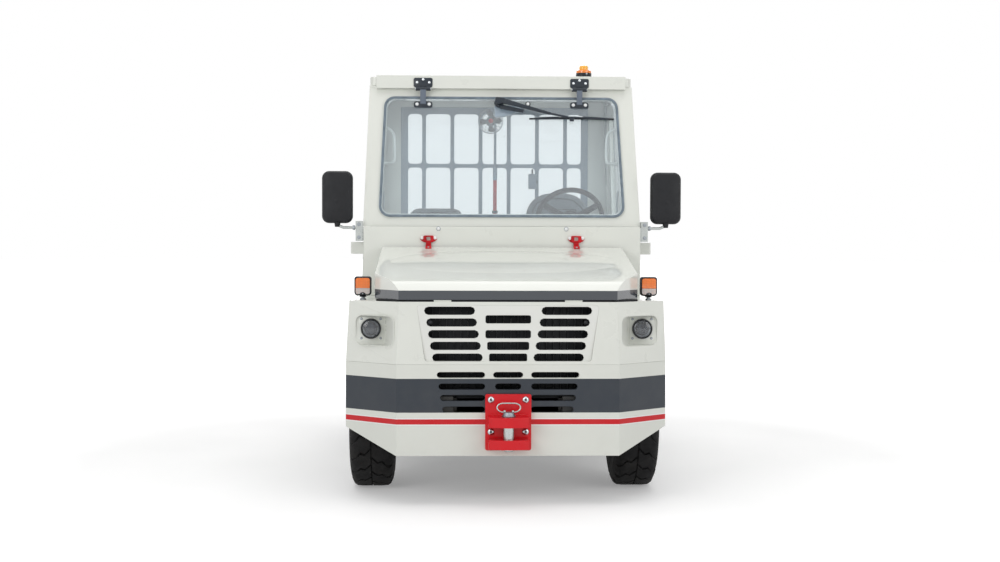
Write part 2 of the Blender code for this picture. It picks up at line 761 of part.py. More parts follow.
WINDOW_X = 0.515
WINDOW_BOTTOM = 1.285
WINDOW_TOP = 1.935
GUARD_X = 0.537
GUARD_BOTTOM = 1.26
GUARD_TOP = 1.965
GUARD_BAR = 0.022
GUARD_PITCH = 0.162
GUARD_ROW_Z = 1.630
GUARD_OPEN_X = 0.496
GUARD_OPEN_TOP = 1.925
GUARD_OPEN_BOTTOM = 1.295
REAR_SHEET = 0.025


def rear_wall():
    outline = [(-0.70, RAIL_TOP + GAP), (0.70, RAIL_TOP + GAP), (side_x(0.95), 0.95),
               (side_x(FRAME_TOP), FRAME_TOP - GAP),
               (-side_x(FRAME_TOP), FRAME_TOP - GAP), (-side_x(0.95), 0.95)]
    hole = rounded(rectangle((-WINDOW_X, WINDOW_X), (WINDOW_BOTTOM, WINDOW_TOP)), 0.05, 4)
    place(plate("rear_wall", "front", [outline, hole], REAR_WALL, REAR_WALL + REAR_SHEET), "body_white")


def rear_window():
    outline = rounded(rectangle((-WINDOW_X - 0.015, WINDOW_X + 0.015),
                                (WINDOW_BOTTOM - 0.015, WINDOW_TOP + 0.015)), 0.06, 4)
    start = REAR_WALL + REAR_SHEET + GAP
    place(plate("rear_window", "front", [outline], start, start + 0.005), "glass")


def rear_window_guard():
    """A plate with two rows of rounded openings."""
    bars = [-GUARD_OPEN_X] + [GUARD_PITCH * (column - 2.5) for column in range(6)] + [GUARD_OPEN_X]
    half = GUARD_BAR / 2
    rows = ((GUARD_OPEN_BOTTOM, GUARD_ROW_Z - half), (GUARD_ROW_Z + half, GUARD_OPEN_TOP))
    holes = []
    for low, high in rows:
        for column, (left, right) in enumerate(zip(bars, bars[1:])):
            start = left + (half if column > 0 else 0)
            end = right - (half if column < 6 else 0)
            holes.append(rounded(rectangle((start, end), (low, high)), 0.018, 2))
    frame = rectangle((-GUARD_X, GUARD_X), (GUARD_BOTTOM, GUARD_TOP))
    place(plate("rear_window_guard", "front", [frame] + holes, REAR_WALL - GAP - 0.006, REAR_WALL - GAP),
          "guard_blue_grey")



# Columns: name, middle, width, height of the back's top
SEATS = (("driver_seat", 0.350, 0.436, 1.500), ("passenger_seat", -0.336, 0.335, 1.412))


def seats():
    base = SEAT_BOX[2][1] + GAP
    for name, middle, width, top in SEATS:
        profile = rounded([(1.16, base), (1.66, base), (1.72, top - 0.02), (1.63, top), (1.545, base + 0.14),
                           (1.16, base + 0.14)], 0.025, 3)
        place(plate(name, "side", [profile], middle - width / 2, middle + width / 2), "seat_grey")


SKIRT_BOTTOM = 0.33
SKIRT_PLATE = 0.022
STEP = ((1.13, 1.60), (0.375, 0.575))
STEP_DEPTH = 0.13


def body_side(name):
    """The skirt under the door, with its step, and the rear side over the rear wheel."""
    front = [spot
             for spot in arc((FRONT_AXLE, AXLE_Z), ARCH_RADIUS, 0, 90,
                             24) if spot[1] < DOOR_BOTTOM - 2 * SEAM]
    rear = arch_edge(REAR_AXLE, REAR_ARCH_RADIUS, AXLE_Z, AXLE_Z, 16)
    end = BODY_LENGTH - BUMPER_PLATE - GAP
    outline = [(FRONT_AXLE + ARCH_RADIUS, SKIRT_BOTTOM)] + [(rear[0][0], SKIRT_BOTTOM)] + rear
    outline += [(rear[-1][0], SKIRT_BOTTOM), (end, SKIRT_BOTTOM), (end, DECK_TOP),
                (DOOR_REAR + SEAM, DECK_TOP),
                (DOOR_REAR + SEAM, DOOR_BOTTOM - SEAM)]
    outline += [(front[-1][0] + 0.02, DOOR_BOTTOM - SEAM)] + front[::-1][:-1]
    recess = rounded(rectangle(*STEP), 0.03, 3)
    side = plate("side", "side", [outline, recess], HALF - SKIRT_PLATE, HALF)
    tread = box("tread", (HALF - STEP_DEPTH, HALF - 0.005), (STEP[0][0] - 0.02, STEP[0][1] + 0.02),
                (STEP[1][0] - 0.02, STEP[1][0] + 0.005))
    hanger = box("hanger", (RAIL_X + RAIL_WIDTH / 2 + GAP, HALF - STEP_DEPTH + 0.02), (1.34, 1.39),
                 (STEP[1][0] - 0.016, 0.43))
    beam = box("beam", (RAIL_X + RAIL_WIDTH / 2 + GAP, HALF - 0.01), (1.80, 1.83), (0.42, 0.48))
    joined = join(side, tread, hanger, beam)
    joined.name = name
    return joined


def rear_deck():
    """The flat deck behind the cab, on two cross bearers that stand on the frame."""
    front, end = REAR_WALL + REAR_SHEET + 0.007, BODY_LENGTH - BUMPER_PLATE - GAP
    inside = HALF - SKIRT_PLATE - GAP
    deck = box("rear_deck", (-inside, inside), (front, end), (DECK_TOP - 0.02, DECK_TOP))
    legs = [box("leg", (-RAIL_X - 0.02, RAIL_X + 0.02), (start, start + 0.03),
                (RAIL_TOP + GAP, DECK_TOP - 0.01))
            for start in (front + 0.02, 2.60)]
    place(join(deck, *legs), "body_white")


REAR_PLATE = ((-HALF, HALF), (BODY_LENGTH - BUMPER_PLATE, BODY_LENGTH), (0.30, DECK_TOP))


def rear_bumper():
    place(box("rear_bumper", *REAR_PLATE), "body_white")


TAIL_LAMP_X = 0.62
TAIL_LAMP_Z = 0.80


def tail_lamp(name):
    return plate(name, "front", [rounded(rectangle((-0.05, 0.05), (-0.045, 0.045)), 0.012, 2)], 0, 0.03)


# The tow hitch: a bolted plate with two jaws. Distances from the face that it is bolted to
HITCH_PLATE_X = 0.105
HITCH_PLATE = 0.02
HITCH_PLATE_Z = (0.258, 0.514)
JAWS = ((0.271, 0.314), (0.370, 0.416))
JAW_X = 0.092
PIN_REACH = 0.065
PIN_RADIUS = 0.024
PIN_BORE = 0.0255


def jaw_outline():
    """A jaw's plan: straight sides from the plate, and a curved front edge."""
    edge = HITCH_REACH - 0.025
    curve = [(x, -(edge + 0.025 * (1 - (x / JAW_X) ** 2)))
             for x in (JAW_X * step / 4 for step in range(-4, 5))]
    return curve + [(JAW_X, -HITCH_PLATE / 2), (-JAW_X, -HITCH_PLATE / 2)]


def hitch(name):
    back = plate(name, "front",
                 [rounded(rectangle((-HITCH_PLATE_X, HITCH_PLATE_X), HITCH_PLATE_Z), 0.008, 2)],
                 -HITCH_PLATE, -GAP)
    jaws = [plate("jaw", "plan", [jaw_outline(), arc((0, -PIN_REACH), PIN_BORE, 0, 345, 23)], low, high)
            for low, high in JAWS]
    return join(back, *jaws)


def hitch_pin(name):
    """The pin from under the lower jaw to its collar, with a wire ring to lift it by."""
    collar = JAWS[1][1] + GAP
    pin = rod(name, (0, 0, JAWS[0][0] - 0.012), (0, 0, collar + 0.02), PIN_RADIUS, 24)
    head = rod("collar", (0, 0, collar), (0, 0, collar + 0.018), PIN_RADIUS + 0.008, 24)
    ring = pipe("ring", [(0.052 * math.cos(a), 0, collar + 0.034 + 0.027 * math.sin(a))
                         for a in (math.radians(15 * step) for step in range(24))], 0.0045, cyclic=True)
    return join(pin, head, ring)


def hitches():
    place(hitch("front_hitch"), "hitch_red")
    place(hitch_pin("front_hitch_pin"), "steel", (0, -PIN_REACH, 0))
    place(hitch("rear_hitch"), "hitch_red", (0, BODY_LENGTH, 0), (0, 0, math.pi))
    place(hitch_pin("rear_hitch_pin"), "steel", (0, BODY_LENGTH + PIN_REACH, 0))


MIRROR_S = 0.735
MIRROR_X = 0.826
MIRROR_Z = 1.424
MIRROR_SIZE = (0.155, 0.05, 0.262)
ARM_Z = 1.272


def mirror(name):
    """The housing, with a knob where the arm enters."""
    head = plate(name, "front", [rounded(rectangle((-MIRROR_SIZE[0] / 2, MIRROR_SIZE[0] / 2),
                                                   (-MIRROR_SIZE[2] / 2, MIRROR_SIZE[2] / 2)), 0.035, 4)],
                 -MIRROR_SIZE[1] / 2, MIRROR_SIZE[1] / 2)
    return head


def mirror_arm(name):
    """A bracket on the cowl's cheek, a level rod and its turned-up end under the mirror."""
    bracket = box(name, (SHOULDER_X + 0.002, COWL_X + 0.040), (MIRROR_S - 0.02, MIRROR_S + 0.02),
                  (1.205, 1.305))
    foot = box("foot", (COWL_X + GAP, COWL_X + 0.020), (MIRROR_S - 0.018, MIRROR_S + 0.018), (1.207, 1.275))
    end = MIRROR_Z - MIRROR_SIZE[2] / 2 - GAP
    arm = pipe("rod", [(COWL_X + 0.03, MIRROR_S, ARM_Z), (MIRROR_X - 0.03, MIRROR_S, ARM_Z),
                       (MIRROR_X - 0.01, MIRROR_S, ARM_Z + 0.008), (MIRROR_X, MIRROR_S, ARM_Z + 0.018),
                       (MIRROR_X, MIRROR_S, end)], 0.007)
    return join(bracket, foot, arm)


WIPER_PIVOT = (-0.012, 1.913)
WIPER_ELBOW = (0.276, 1.846)
WIPER_BLADE = ((0.140, 0.578), 1.832)


def on_glass(x, z, out):
    """A point this far in front of the windscreen."""
    return (x, screen_s(z) - GLASS_THICKNESS - out, z)


def wiper():
    """The motor cover, the arm and the blade, parked across the top of the windscreen."""
    x, z = WIPER_PIVOT
    foot = Vector(on_glass(x, z, 2 * GAP))
    cover = rod("wiper", foot, foot + Vector((0, -1, RAKE)).normalized() * 0.045, 0.022, 16)
    (left, right), level = WIPER_BLADE
    middle = (left + right) / 2
    arm = pipe("arm", [on_glass(x, z, 0.035), on_glass(*WIPER_ELBOW, 0.035), on_glass(middle, level, 0.020)],
               0.006)
    blade = box("blade", (left, right), (0, 0.018), (-0.009, 0.009))
    for vertex in blade.data.vertices:
        vertex.co += Vector(on_glass(0, level, 0.022))
    place(join(cover, arm, blade), "black_plastic")


BEACON = (0.451, 1.20)
BEACON_RADIUS = 0.042


def beacon():
    """A domed lamp on a short base."""
    base = CAB_HEIGHT + GAP
    dome = [(base + 0.045 + 0.05 * math.sin(a), (BEACON_RADIUS - 0.004) * math.cos(a))
            for a in (math.radians(angle) for angle in (0, 25, 50, 70, 85))]
    profile = [(base, 0), (base, BEACON_RADIUS), (base + 0.03, BEACON_RADIUS)] + dome + [(base + 0.095, 0)]
    obj = turned("beacon", profile, 20)
    for vertex in obj.data.vertices:
        vertex.co = Vector((BEACON[0] + vertex.co.z, BEACON[1] + vertex.co.y, vertex.co.x))
    bm = bmesh.new()
    bm.from_mesh(obj.data)
    bmesh.ops.recalc_face_normals(bm, faces=bm.faces)
    bm.to_mesh(obj.data)
    bm.free()
    place(obj, "amber")


# ---------------------------------------------------------------- drive and running gear

ENGINE_TOP = 0.94


def engine_and_radiator():
    inside = RAIL_X - RAIL_WIDTH / 2 - GAP
    place(box("engine_block", (-inside, inside), (0.24, 0.66), (0.425, ENGINE_TOP)), "engine_grey")
    place(box("radiator", (-0.35, 0.35), (0.13, 0.19), (RAIL_TOP + GAP, 0.92)), "engine_grey")


LEAF = 0.012
LEAF_REACH = 0.30
KINGPIN_TOP = 0.425
KINGPIN_BOTTOM = 0.245
FORK = 0.022


def leaf_springs(axle_top, axle_s):
    """Two leaf packs from the axle's seat up to the rails."""
    packs = []
    height = RAIL_BOTTOM - GAP - LEAF
    sag = height - axle_top
    lower = [(axle_s + LEAF_REACH * step / 4, axle_top + sag * (step / 4) ** 2 - 0.002)
             for step in range(-4, 5)]
    upper = [(s, z + LEAF + 0.002) for s, z in reversed(lower)]
    for side, sign in both_sides():
        packs.append(plate("leaf", "side", [lower + upper], sign * RAIL_X - 0.028, sign * RAIL_X + 0.028))
    return packs


def front_axle():
    """A beam with a fork at each end for the kingpin, and its two leaf springs."""
    top = AXLE_Z + 0.03
    reach = STEER_X - 0.05
    beam = box("front_axle", (-reach, reach), (FRONT_AXLE - 0.035, FRONT_AXLE + 0.035), (top - 0.06, top))
    others = leaf_springs(top, FRONT_AXLE)
    for ending, sign in both_sides():
        web = sorted((sign * (reach - 0.03), sign * reach))
        others.append(box("web", web, (FRONT_AXLE - 0.034, FRONT_AXLE + 0.034),
                          (KINGPIN_BOTTOM, KINGPIN_TOP)))
        arm = sorted((sign * (reach - 0.015), sign * (STEER_X + 0.026)))
        for low, high in ((KINGPIN_BOTTOM, KINGPIN_BOTTOM + FORK), (KINGPIN_TOP - FORK, KINGPIN_TOP)):
            others.append(box("fork", arm, (FRONT_AXLE - 0.03, FRONT_AXLE + 0.03), (low, high)))
    place(join(beam, *others), "chassis_black")


KNUCKLE_RADIUS = 0.026
SPINDLE = 0.024
STEER_ARM = 0.165
STEER_ARM_Z = 0.285


def knuckle(name):
    """The kingpin boss between the fork's arms, the spindle, and the steering arm straight back."""
    low, high = KINGPIN_BOTTOM + FORK + GAP, KINGPIN_TOP - FORK - GAP
    boss = rod(name, (0, 0, low), (0, 0, high), KNUCKLE_RADIUS, 16)
    spindle = rod("spindle", (0, 0, AXLE_Z), (WHEEL_X - STEER_X + 0.045, 0, AXLE_Z), SPINDLE, 16)
    arm = box("arm", (-0.014, 0.014), (0, STEER_ARM), (STEER_ARM_Z - 0.008, STEER_ARM_Z + 0.008))
    eye = rod("eye", (0, STEER_ARM, STEER_ARM_Z - 0.008), (0, STEER_ARM, STEER_ARM_Z + 0.008), 0.018, 16)
    return join(boss, spindle, arm, eye)


def tie_rod():
    """A bar under the two steering arms, from eye to eye."""
    height = STEER_ARM_Z - 0.008 - GAP - 0.009
    bar = rod("tie_rod", (0.0, 0, height), (-2 * STEER_X, 0, height), 0.009, 12)
    ends = [rod("end", (x, 0, height - 0.009), (x, 0, STEER_ARM_Z - 0.008 - GAP), 0.016, 16)
            for x in (0, -2 * STEER_X)]
    place(join(bar, *ends), "chassis_black", (STEER_X, FRONT_AXLE + STEER_ARM, 0))


def rear_axle():
    """The drive axle: a tube that swells to the final drive, and its two leaf springs."""
    tube, case, stub = 0.045, 0.125, WHEEL_X + 0.045
    right = [(0.06, case), (0.115, 0.085), (0.16, tube), (0.47, tube), (0.47, SPINDLE), (stub, SPINDLE),
             (stub, 0)]
    profile = [(-x, radius) for x, radius in reversed(right)] + right
    axle = turned("rear_axle", profile, 16, math.pi / 16)
    for vertex in axle.data.vertices:
        vertex.co += Vector((0, REAR_AXLE, AXLE_Z))
    place(join(axle, *leaf_springs(AXLE_Z + tube - 0.006, REAR_AXLE)), "chassis_black")


BEAD = 0.153
RIM_WIDTH = 0.170
FLANGE = 0.168


def tyre_mesh(name):
    """A closed ring turned from the section of a lug tyre."""
    half = TYRE_WIDTH / 2
    bead = RIM_WIDTH / 2 - 0.015
    right = [(bead, BEAD), (bead, FLANGE + 0.004), (half - 0.004, 0.215), (half, 0.260),
             (half - 0.022, TYRE_RADIUS - 0.012), (half - 0.034, TYRE_RADIUS)]
    profile = right + [(-x, radius) for x, radius in reversed(right)]
    return turned(name, profile, TURN_STEPS, math.pi / TURN_STEPS)


def rim_mesh(name):
    """The barrel with its flanges, a dished disc and the hub with its bore, turned in one piece."""
    half = RIM_WIDTH / 2
    bead = half - 0.0147
    bore = SPINDLE + 0.0008
    profile = [(half, FLANGE), (bead, FLANGE), (bead, BEAD - GAP), (-bead, BEAD - GAP), (-bead, FLANGE),
               (-half, FLANGE), (-0.060, 0.142), (0.010, 0.138), (0.026, 0.060), (-0.030, 0.055), (-0.030,
                                                                                                   bore),
               (0.060, bore), (0.060, 0.050), (0.036, 0.110), (0.026, 0.142)]
    return turned(name, profile, TURN_STEPS, math.pi / TURN_STEPS)


# Columns: end, axle
AXLES = (("front", FRONT_AXLE), ("rear", REAR_AXLE))


def wheels():
    for end, axle in AXLES:
        for side, sign in both_sides():
            for name, build, look in ((f"tyre_{end}_{side}", tyre_mesh, "tyre"),
                                      (f"rim_{end}_{side}", rim_mesh, "rim_white")):
                obj = build(name)
                if sign < 0:
                    flip(obj)
                place(obj, look, (sign * WHEEL_X, axle, AXLE_Z))


# ---------------------------------------------------------------- doors

DOOR_FRONT = 0.842
WINDOW_RADIUS = 0.045


def door_edge(z):
    """The door's front edge: upright below the shoulder, and parallel to the windscreen above it."""
    return DOOR_FRONT + max(0.0, z - SHOULDER_Z) * RAKE


def window_outline(margin):
    low, high = 1.20, 1.895
    corners = [(door_edge(low) + 0.065, low), (1.70, low), (1.70, high), (door_edge(high) + 0.068, high),
               (door_edge(SHOULDER_Z) + 0.065, SHOULDER_Z + 0.02)]
    return offset(rounded(corners, WINDOW_RADIUS, 3), margin)


def door(name):
    """The door's shell with its window cut, and the straps and barrels of its two hinges."""
    outline = [(0.905, DOOR_BOTTOM), (DOOR_REAR, DOOR_BOTTOM), (DOOR_REAR, DOOR_TOP),
               (door_edge(DOOR_TOP), DOOR_TOP),
               (DOOR_FRONT, SHOULDER_Z), (DOOR_FRONT, 0.69)]
    panel = leaning(plate("panel", "side", [outline, window_outline(0)], -DOOR_SKIN, 0))
    others = []
    for low, high in (LOWER_HINGE, UPPER_HINGE):
        others.append(rod("barrel", (HINGE_X, HINGE_S, low), (HINGE_X, HINGE_S, high), HINGE_BARREL, 12))
        others.append(box("strap", (HINGE_X - 0.004, HINGE_X + 0.004), (HINGE_S, 0.875),
                          (low + 0.005, high - 0.005)))
        others.append(box("foot", (side_x(high) - 0.012, HINGE_X + 0.0035), (0.86, 0.8745),
                          (low + 0.006, high - 0.006)))
    handle = box("handle", (side_x(1.05) - 0.01, side_x(1.05) + 0.028), (1.66, 1.73), (1.03, 1.06))
    joined = join(panel, *others, handle)
    joined.name = name
    for vertex in joined.data.vertices:
        vertex.co -= Vector((HINGE_X, HINGE_S, 0))
    return joined


def door_glass(name):
    pane = leaning(plate(name, "side", [window_outline(0.0005)], -0.024, -0.018))
    for vertex in pane.data.vertices:
        vertex.co -= Vector((HINGE_X, HINGE_S, 0))
    return pane


# ---------------------------------------------------------------- the tug

chassis()
front_bumper()
nose()
grille()
pair("headlight", headlight, "lamp_clear")
pair("wing", wing, "body_white")
pair("turn_lamp", turn_lamp, "amber", (LAMP_X, LAMP_S, LAMP_Z))
bonnet()
engine_and_radiator()
cowl()
cab_floor()
dashboard()
steering_wheel()
cab_frame()
windscreen()
roof()
rear_wall()
rear_window()
rear_window_guard()
seats()
pair("body_side", body_side, "body_white")
rear_deck()
rear_bumper()
pair("tail_lamp", tail_lamp, "lamp_red", (TAIL_LAMP_X, BODY_LENGTH + GAP, TAIL_LAMP_Z))
hitches()
pair("mirror", mirror, "black_plastic", (MIRROR_X, MIRROR_S, MIRROR_Z))
pair("mirror_arm", mirror_arm, "steel")
wiper()
beacon()
front_axle()
pair("knuckle", knuckle, "chassis_black", (STEER_X, FRONT_AXLE, 0))
tie_rod()
rear_axle()
wheels()
pair("door", door, "body_white", (HINGE_X, HINGE_S, 0))
pair("door_glass", door_glass, "glass", (HINGE_X, HINGE_S, 0))
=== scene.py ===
"""Looks of the airport baggage tug: materials, detailed pieces, floor, lights and camera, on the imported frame.

Pieces are written as in the CAD: metres, X across (+X is the driver's side), Y behind the bumper's face,
Z above the ground. Piece.done() moves them back by FRONT into the row frame.
"""

import math

import bmesh
import bpy
from mathutils import Matrix, Vector
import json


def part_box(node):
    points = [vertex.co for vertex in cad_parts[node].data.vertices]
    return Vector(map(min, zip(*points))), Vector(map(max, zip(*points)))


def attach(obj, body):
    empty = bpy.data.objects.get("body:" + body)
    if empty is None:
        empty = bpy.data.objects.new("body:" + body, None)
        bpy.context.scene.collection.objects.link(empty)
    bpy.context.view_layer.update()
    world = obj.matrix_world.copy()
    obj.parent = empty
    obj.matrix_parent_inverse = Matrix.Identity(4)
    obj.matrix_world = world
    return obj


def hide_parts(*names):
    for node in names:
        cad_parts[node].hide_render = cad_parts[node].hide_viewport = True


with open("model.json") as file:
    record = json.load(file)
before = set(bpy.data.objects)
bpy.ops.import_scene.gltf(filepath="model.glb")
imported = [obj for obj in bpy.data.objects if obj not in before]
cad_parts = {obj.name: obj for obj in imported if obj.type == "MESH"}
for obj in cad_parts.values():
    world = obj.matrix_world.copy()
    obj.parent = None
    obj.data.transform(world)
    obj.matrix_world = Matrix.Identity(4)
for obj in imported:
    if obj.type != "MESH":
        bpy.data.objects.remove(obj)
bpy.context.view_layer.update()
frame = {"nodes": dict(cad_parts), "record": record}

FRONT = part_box("front_bumper")[0].y
NODE_BODY = {node: body for body, nodes in frame["record"]["behaviour"]["bodies"].items() for node in nodes}
BOTH = (("left", 1), ("right", -1))


# Shapes: each returns a bmesh

def solid(points, faces):
    bm = bmesh.new()
    corners = [bm.verts.new(point) for point in points]
    for face in faces:
        bm.faces.new([corners[i] for i in face])
    bmesh.ops.recalc_face_normals(bm, faces=bm.faces)
    return bm


def eased(bm, width, segments=2, angle=30):
    """Rounds the edges of a shape that turn by more than the angle, in degrees."""
    if width:
        sharp = [e for e in bm.edges if len(e.link_faces) == 2 and e.calc_face_angle(0) > math.radians(angle)]
        bmesh.ops.bevel(bm, geom=sharp, offset=width, segments=segments, profile=0.5, affect="EDGES",
                        clamp_overlap=True)
    return bm


PLANES = {"front": (0, 2, 1), "side": (1, 2, 0), "plan": (0, 1, 2)}


def slab(outline, low, high, plane="front", ease=0.002, segments=2):
    """An outline in one plane, given thickness from low to high across it."""
    a, b, c = PLANES[plane]
    points = []
    for level in (low, high):
        for u, v in outline:
            point = [0, 0, 0]
            point[a], point[b], point[c] = u, v, level
            points.append(point)
    n = len(outline)
    faces = [list(range(n))[::-1], list(range(n, 2 * n))]
    faces += [[i, (i + 1) % n, n + (i + 1) % n, n + i] for i in range(n)]
    return eased(solid(points, faces), ease, segments)


def block(x, y, z, ease=0.003, segments=2):
    return slab([(x[0], y[0]), (x[1], y[0]), (x[1], y[1]), (x[0], y[1])], z[0], z[1], "plan", ease, segments)


def hoop(outer, inner, low, high, plane="front", ease=0.0):
    """The band between two outlines with as many points each, given thickness."""
    a, b, c = PLANES[plane]
    points = []
    for level in (low, high):
        for outline in (outer, inner):
            for u, v in outline:
                point = [0, 0, 0]
                point[a], point[b], point[c] = u, v, level
                points.append(point)
    n = len(outer)
    faces = []
    for i in range(n):
        j = (i + 1) % n
        faces += [[i, j, n + j, n + i], [2 * n + i, 3 * n + i, 3 * n + j, 2 * n + j],
                  [i, 2 * n + i, 2 * n + j, j], [n + i, n + j, 3 * n + j, 3 * n + i]]
    return eased(solid(points, faces), ease)


def turned(profile, origin=(0, 0, 0), axis=(0, 0, 1), steps=32, ease=0.0):
    """A profile of (radius, height) pairs turned about an axis. It closes itself where the radius is 0."""
    turn = Vector((0, 0, 1)).rotation_difference(Vector(axis).normalized()).to_matrix()
    bm = bmesh.new()
    rings = []
    for radius, height in profile:
        if radius < 1e-7:
            rings.append([bm.verts.new(Vector(origin) + turn @ Vector((0, 0, height)))])
            continue
        rings.append([bm.verts.new(Vector(origin) + turn @ Vector(
            (radius * math.cos(2 * math.pi * i / steps), radius * math.sin(2 * math.pi * i / steps), height)))
            for i in range(steps)])
    for one, two in zip(rings, rings[1:]):
        for i in range(steps):
            j = (i + 1) % steps
            corners = [one[i % len(one)], one[j % len(one)], two[j % len(two)], two[i % len(two)]]
            corners = [v for k, v in enumerate(corners) if v not in corners[:k]]
            if len(corners) > 2:
                bm.faces.new(corners)
    bmesh.ops.recalc_face_normals(bm, faces=bm.faces)
    return eased(bm, ease)


def rod(start, end, radius, end_radius=None, steps=24, ease=0.0012):
    along = Vector(end) - Vector(start)
    tip = radius if end_radius is None else end_radius
    return turned([(0, 0), (radius, 0), (tip, along.length), (0, along.length)], start, along, steps,
                  min(ease, 0.3 * min(radius, tip)))


def ball(centre, radius, steps=16):
    arc = [(radius * math.sin(math.pi * i / steps), -radius * math.cos(math.pi * i / steps)) for i in range(steps + 1)]
    return turned(arc, centre, (0, 0, 1), 2 * steps)


def smooth_path(points, steps=6, closed=False):
    """A Catmull-Rom curve through the points."""
    p = [Vector(point) for point in points]
    n = len(p)
    out = []
    for i in range(n if closed else n - 1):
        if closed:
            a, b, c, d = p[(i - 1) % n], p[i], p[(i + 1) % n], p[(i + 2) % n]
        else:
            a, b, c, d = p[max(i - 1, 0)], p[i], p[i + 1], p[min(i + 2, n - 1)]
        for k in range(steps):
            t = k / steps
            out.append(0.5 * (2 * b + (c - a) * t + (2 * a - 5 * b + 4 * c - d) * t * t + (3 * b - a - 3 * c + d) * t ** 3))
    return out if closed else out + [p[-1]]


def tube(points, radius, sides=12, closed=False, flat=1.0, up=None):
    """A round bar along the points. flat squeezes it across, and up is then the direction it keeps."""
    p = [Vector(point) for point in points]
    n = len(p)
    bm = bmesh.new()
    rings, normal = [], None
    for i in range(n):
        ahead, behind = p[(i + 1) % n] if closed or i < n - 1 else p[i], p[i - 1] if closed or i else p[i]
        along = (ahead - behind).normalized()
        if normal is None or up is not None:
            guide = Vector(up) if up is not None else Vector((0, 0, 1)) if abs(along.z) < 0.9 else Vector((1, 0, 0))
            normal = guide
        normal = (normal - along * normal.dot(along)).normalized()
        other = along.cross(normal)
        rings.append([bm.verts.new(p[i] + radius * (math.cos(2 * math.pi * k / sides) * normal
                                                    + flat * math.sin(2 * math.pi * k / sides) * other))
                      for k in range(sides)])
    for i in range(n if closed else n - 1):
        one, two = rings[i], rings[(i + 1) % n]
        for k in range(sides):
            bm.faces.new([one[k], one[(k + 1) % sides], two[(k + 1) % sides], two[k]])
    if not closed:
        bm.faces.new(rings[0][::-1])
        bm.faces.new(rings[-1])
    bmesh.ops.recalc_face_normals(bm, faces=bm.faces)
    return bm


def rounded(points, radius, steps=4):
    """The outline with each corner rounded. radius is one number or one for each corner."""
    radii = radius if isinstance(radius, (list, tuple)) else [radius] * len(points)
    out = []
    for i, here in enumerate(points):
        here = Vector(here)
        before, after = Vector(points[i - 1]) - here, Vector(points[(i + 1) % len(points)]) - here
        angle = before.angle(after)
        reach = min(radii[i] / math.tan(angle / 2), 0.49 * before.length, 0.49 * after.length)
        r = reach * math.tan(angle / 2)
        middle = here + (before.normalized() + after.normalized()).normalized() * (r / math.sin(angle / 2))
        first, last = here + before.normalized() * reach - middle, here + after.normalized() * reach - middle
        turn = first.angle_signed(last)
        for k in range(steps + 1):
            out.append(tuple(middle + Matrix.Rotation(-turn * k / steps, 2) @ first))
    return out


def rectangle(x, z):
    return [(x[0], z[0]), (x[1], z[0]), (x[1], z[1]), (x[0], z[1])]


def circle(centre, radius, steps=24):
    return [(centre[0] + radius * math.cos(2 * math.pi * i / steps),
             centre[1] + radius * math.sin(2 * math.pi * i / steps)) for i in range(steps)]


def moved(bm, place=(0, 0, 0), turn=None, about=None):
    """Turns a shape by Euler degrees about a point, then moves it."""
    if turn is not None:
        matrix = Matrix.Rotation(math.radians(turn[2]), 4, "Z") @ Matrix.Rotation(math.radians(turn[1]), 4, "Y") \
            @ Matrix.Rotation(math.radians(turn[0]), 4, "X")
        centre = Vector(about or (0, 0, 0))
        bmesh.ops.transform(bm, matrix=Matrix.Translation(centre) @ matrix @ Matrix.Translation(-centre), verts=bm.verts)
    bmesh.ops.translate(bm, vec=Vector(place), verts=bm.verts)
    return bm


def mirrored(bm, sign):
    if sign < 0:
        bmesh.ops.scale(bm, vec=(-1, 1, 1), verts=bm.verts)
        bmesh.ops.reverse_faces(bm, faces=bm.faces)
    return bm


class Piece:
    """One piece of the visual model, made of several shapes with a material each."""

    def __init__(self, name, body, slot, sign=1):
        self.name, self.body, self.slot, self.sign = name, body, slot, sign
        self.bm, self.looks = bmesh.new(), []

    def add(self, look, *shapes):
        if look not in self.looks:
            self.looks.append(look)
        for shape in shapes:
            mesh = bpy.data.meshes.new("shape")
            mirrored(shape, self.sign).to_mesh(mesh)
            shape.free()
            mesh.polygons.foreach_set("material_index", [self.looks.index(look)] * len(mesh.polygons))
            self.bm.from_mesh(mesh)
            bpy.data.meshes.remove(mesh)
        return self

    def done(self, *nodes, smooth=32):
        mesh = bpy.data.meshes.new(self.name)
        bmesh.ops.translate(self.bm, vec=(0, FRONT, 0), verts=self.bm.verts)
        self.bm.to_mesh(mesh)
        self.bm.free()
        return finished(self.name, mesh, [LOOKS[look] for look in self.looks], self.body, nodes, smooth)


def finished(name, mesh, materials, body, nodes=(), smooth=32):
    """Puts a mesh in the scene as a piece: smooth where it turns by less than the angle, on its body."""
    for material in materials:
        mesh.materials.append(material)
    mesh.polygons.foreach_set("use_smooth", [True] * len(mesh.polygons))
    mesh.set_sharp_from_angle(angle=math.radians(smooth))
    obj = bpy.data.objects.new(name, mesh)
    bpy.context.scene.collection.objects.link(obj)
    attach(obj, body)
    if nodes:
        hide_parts(*nodes)
    return obj


# Materials

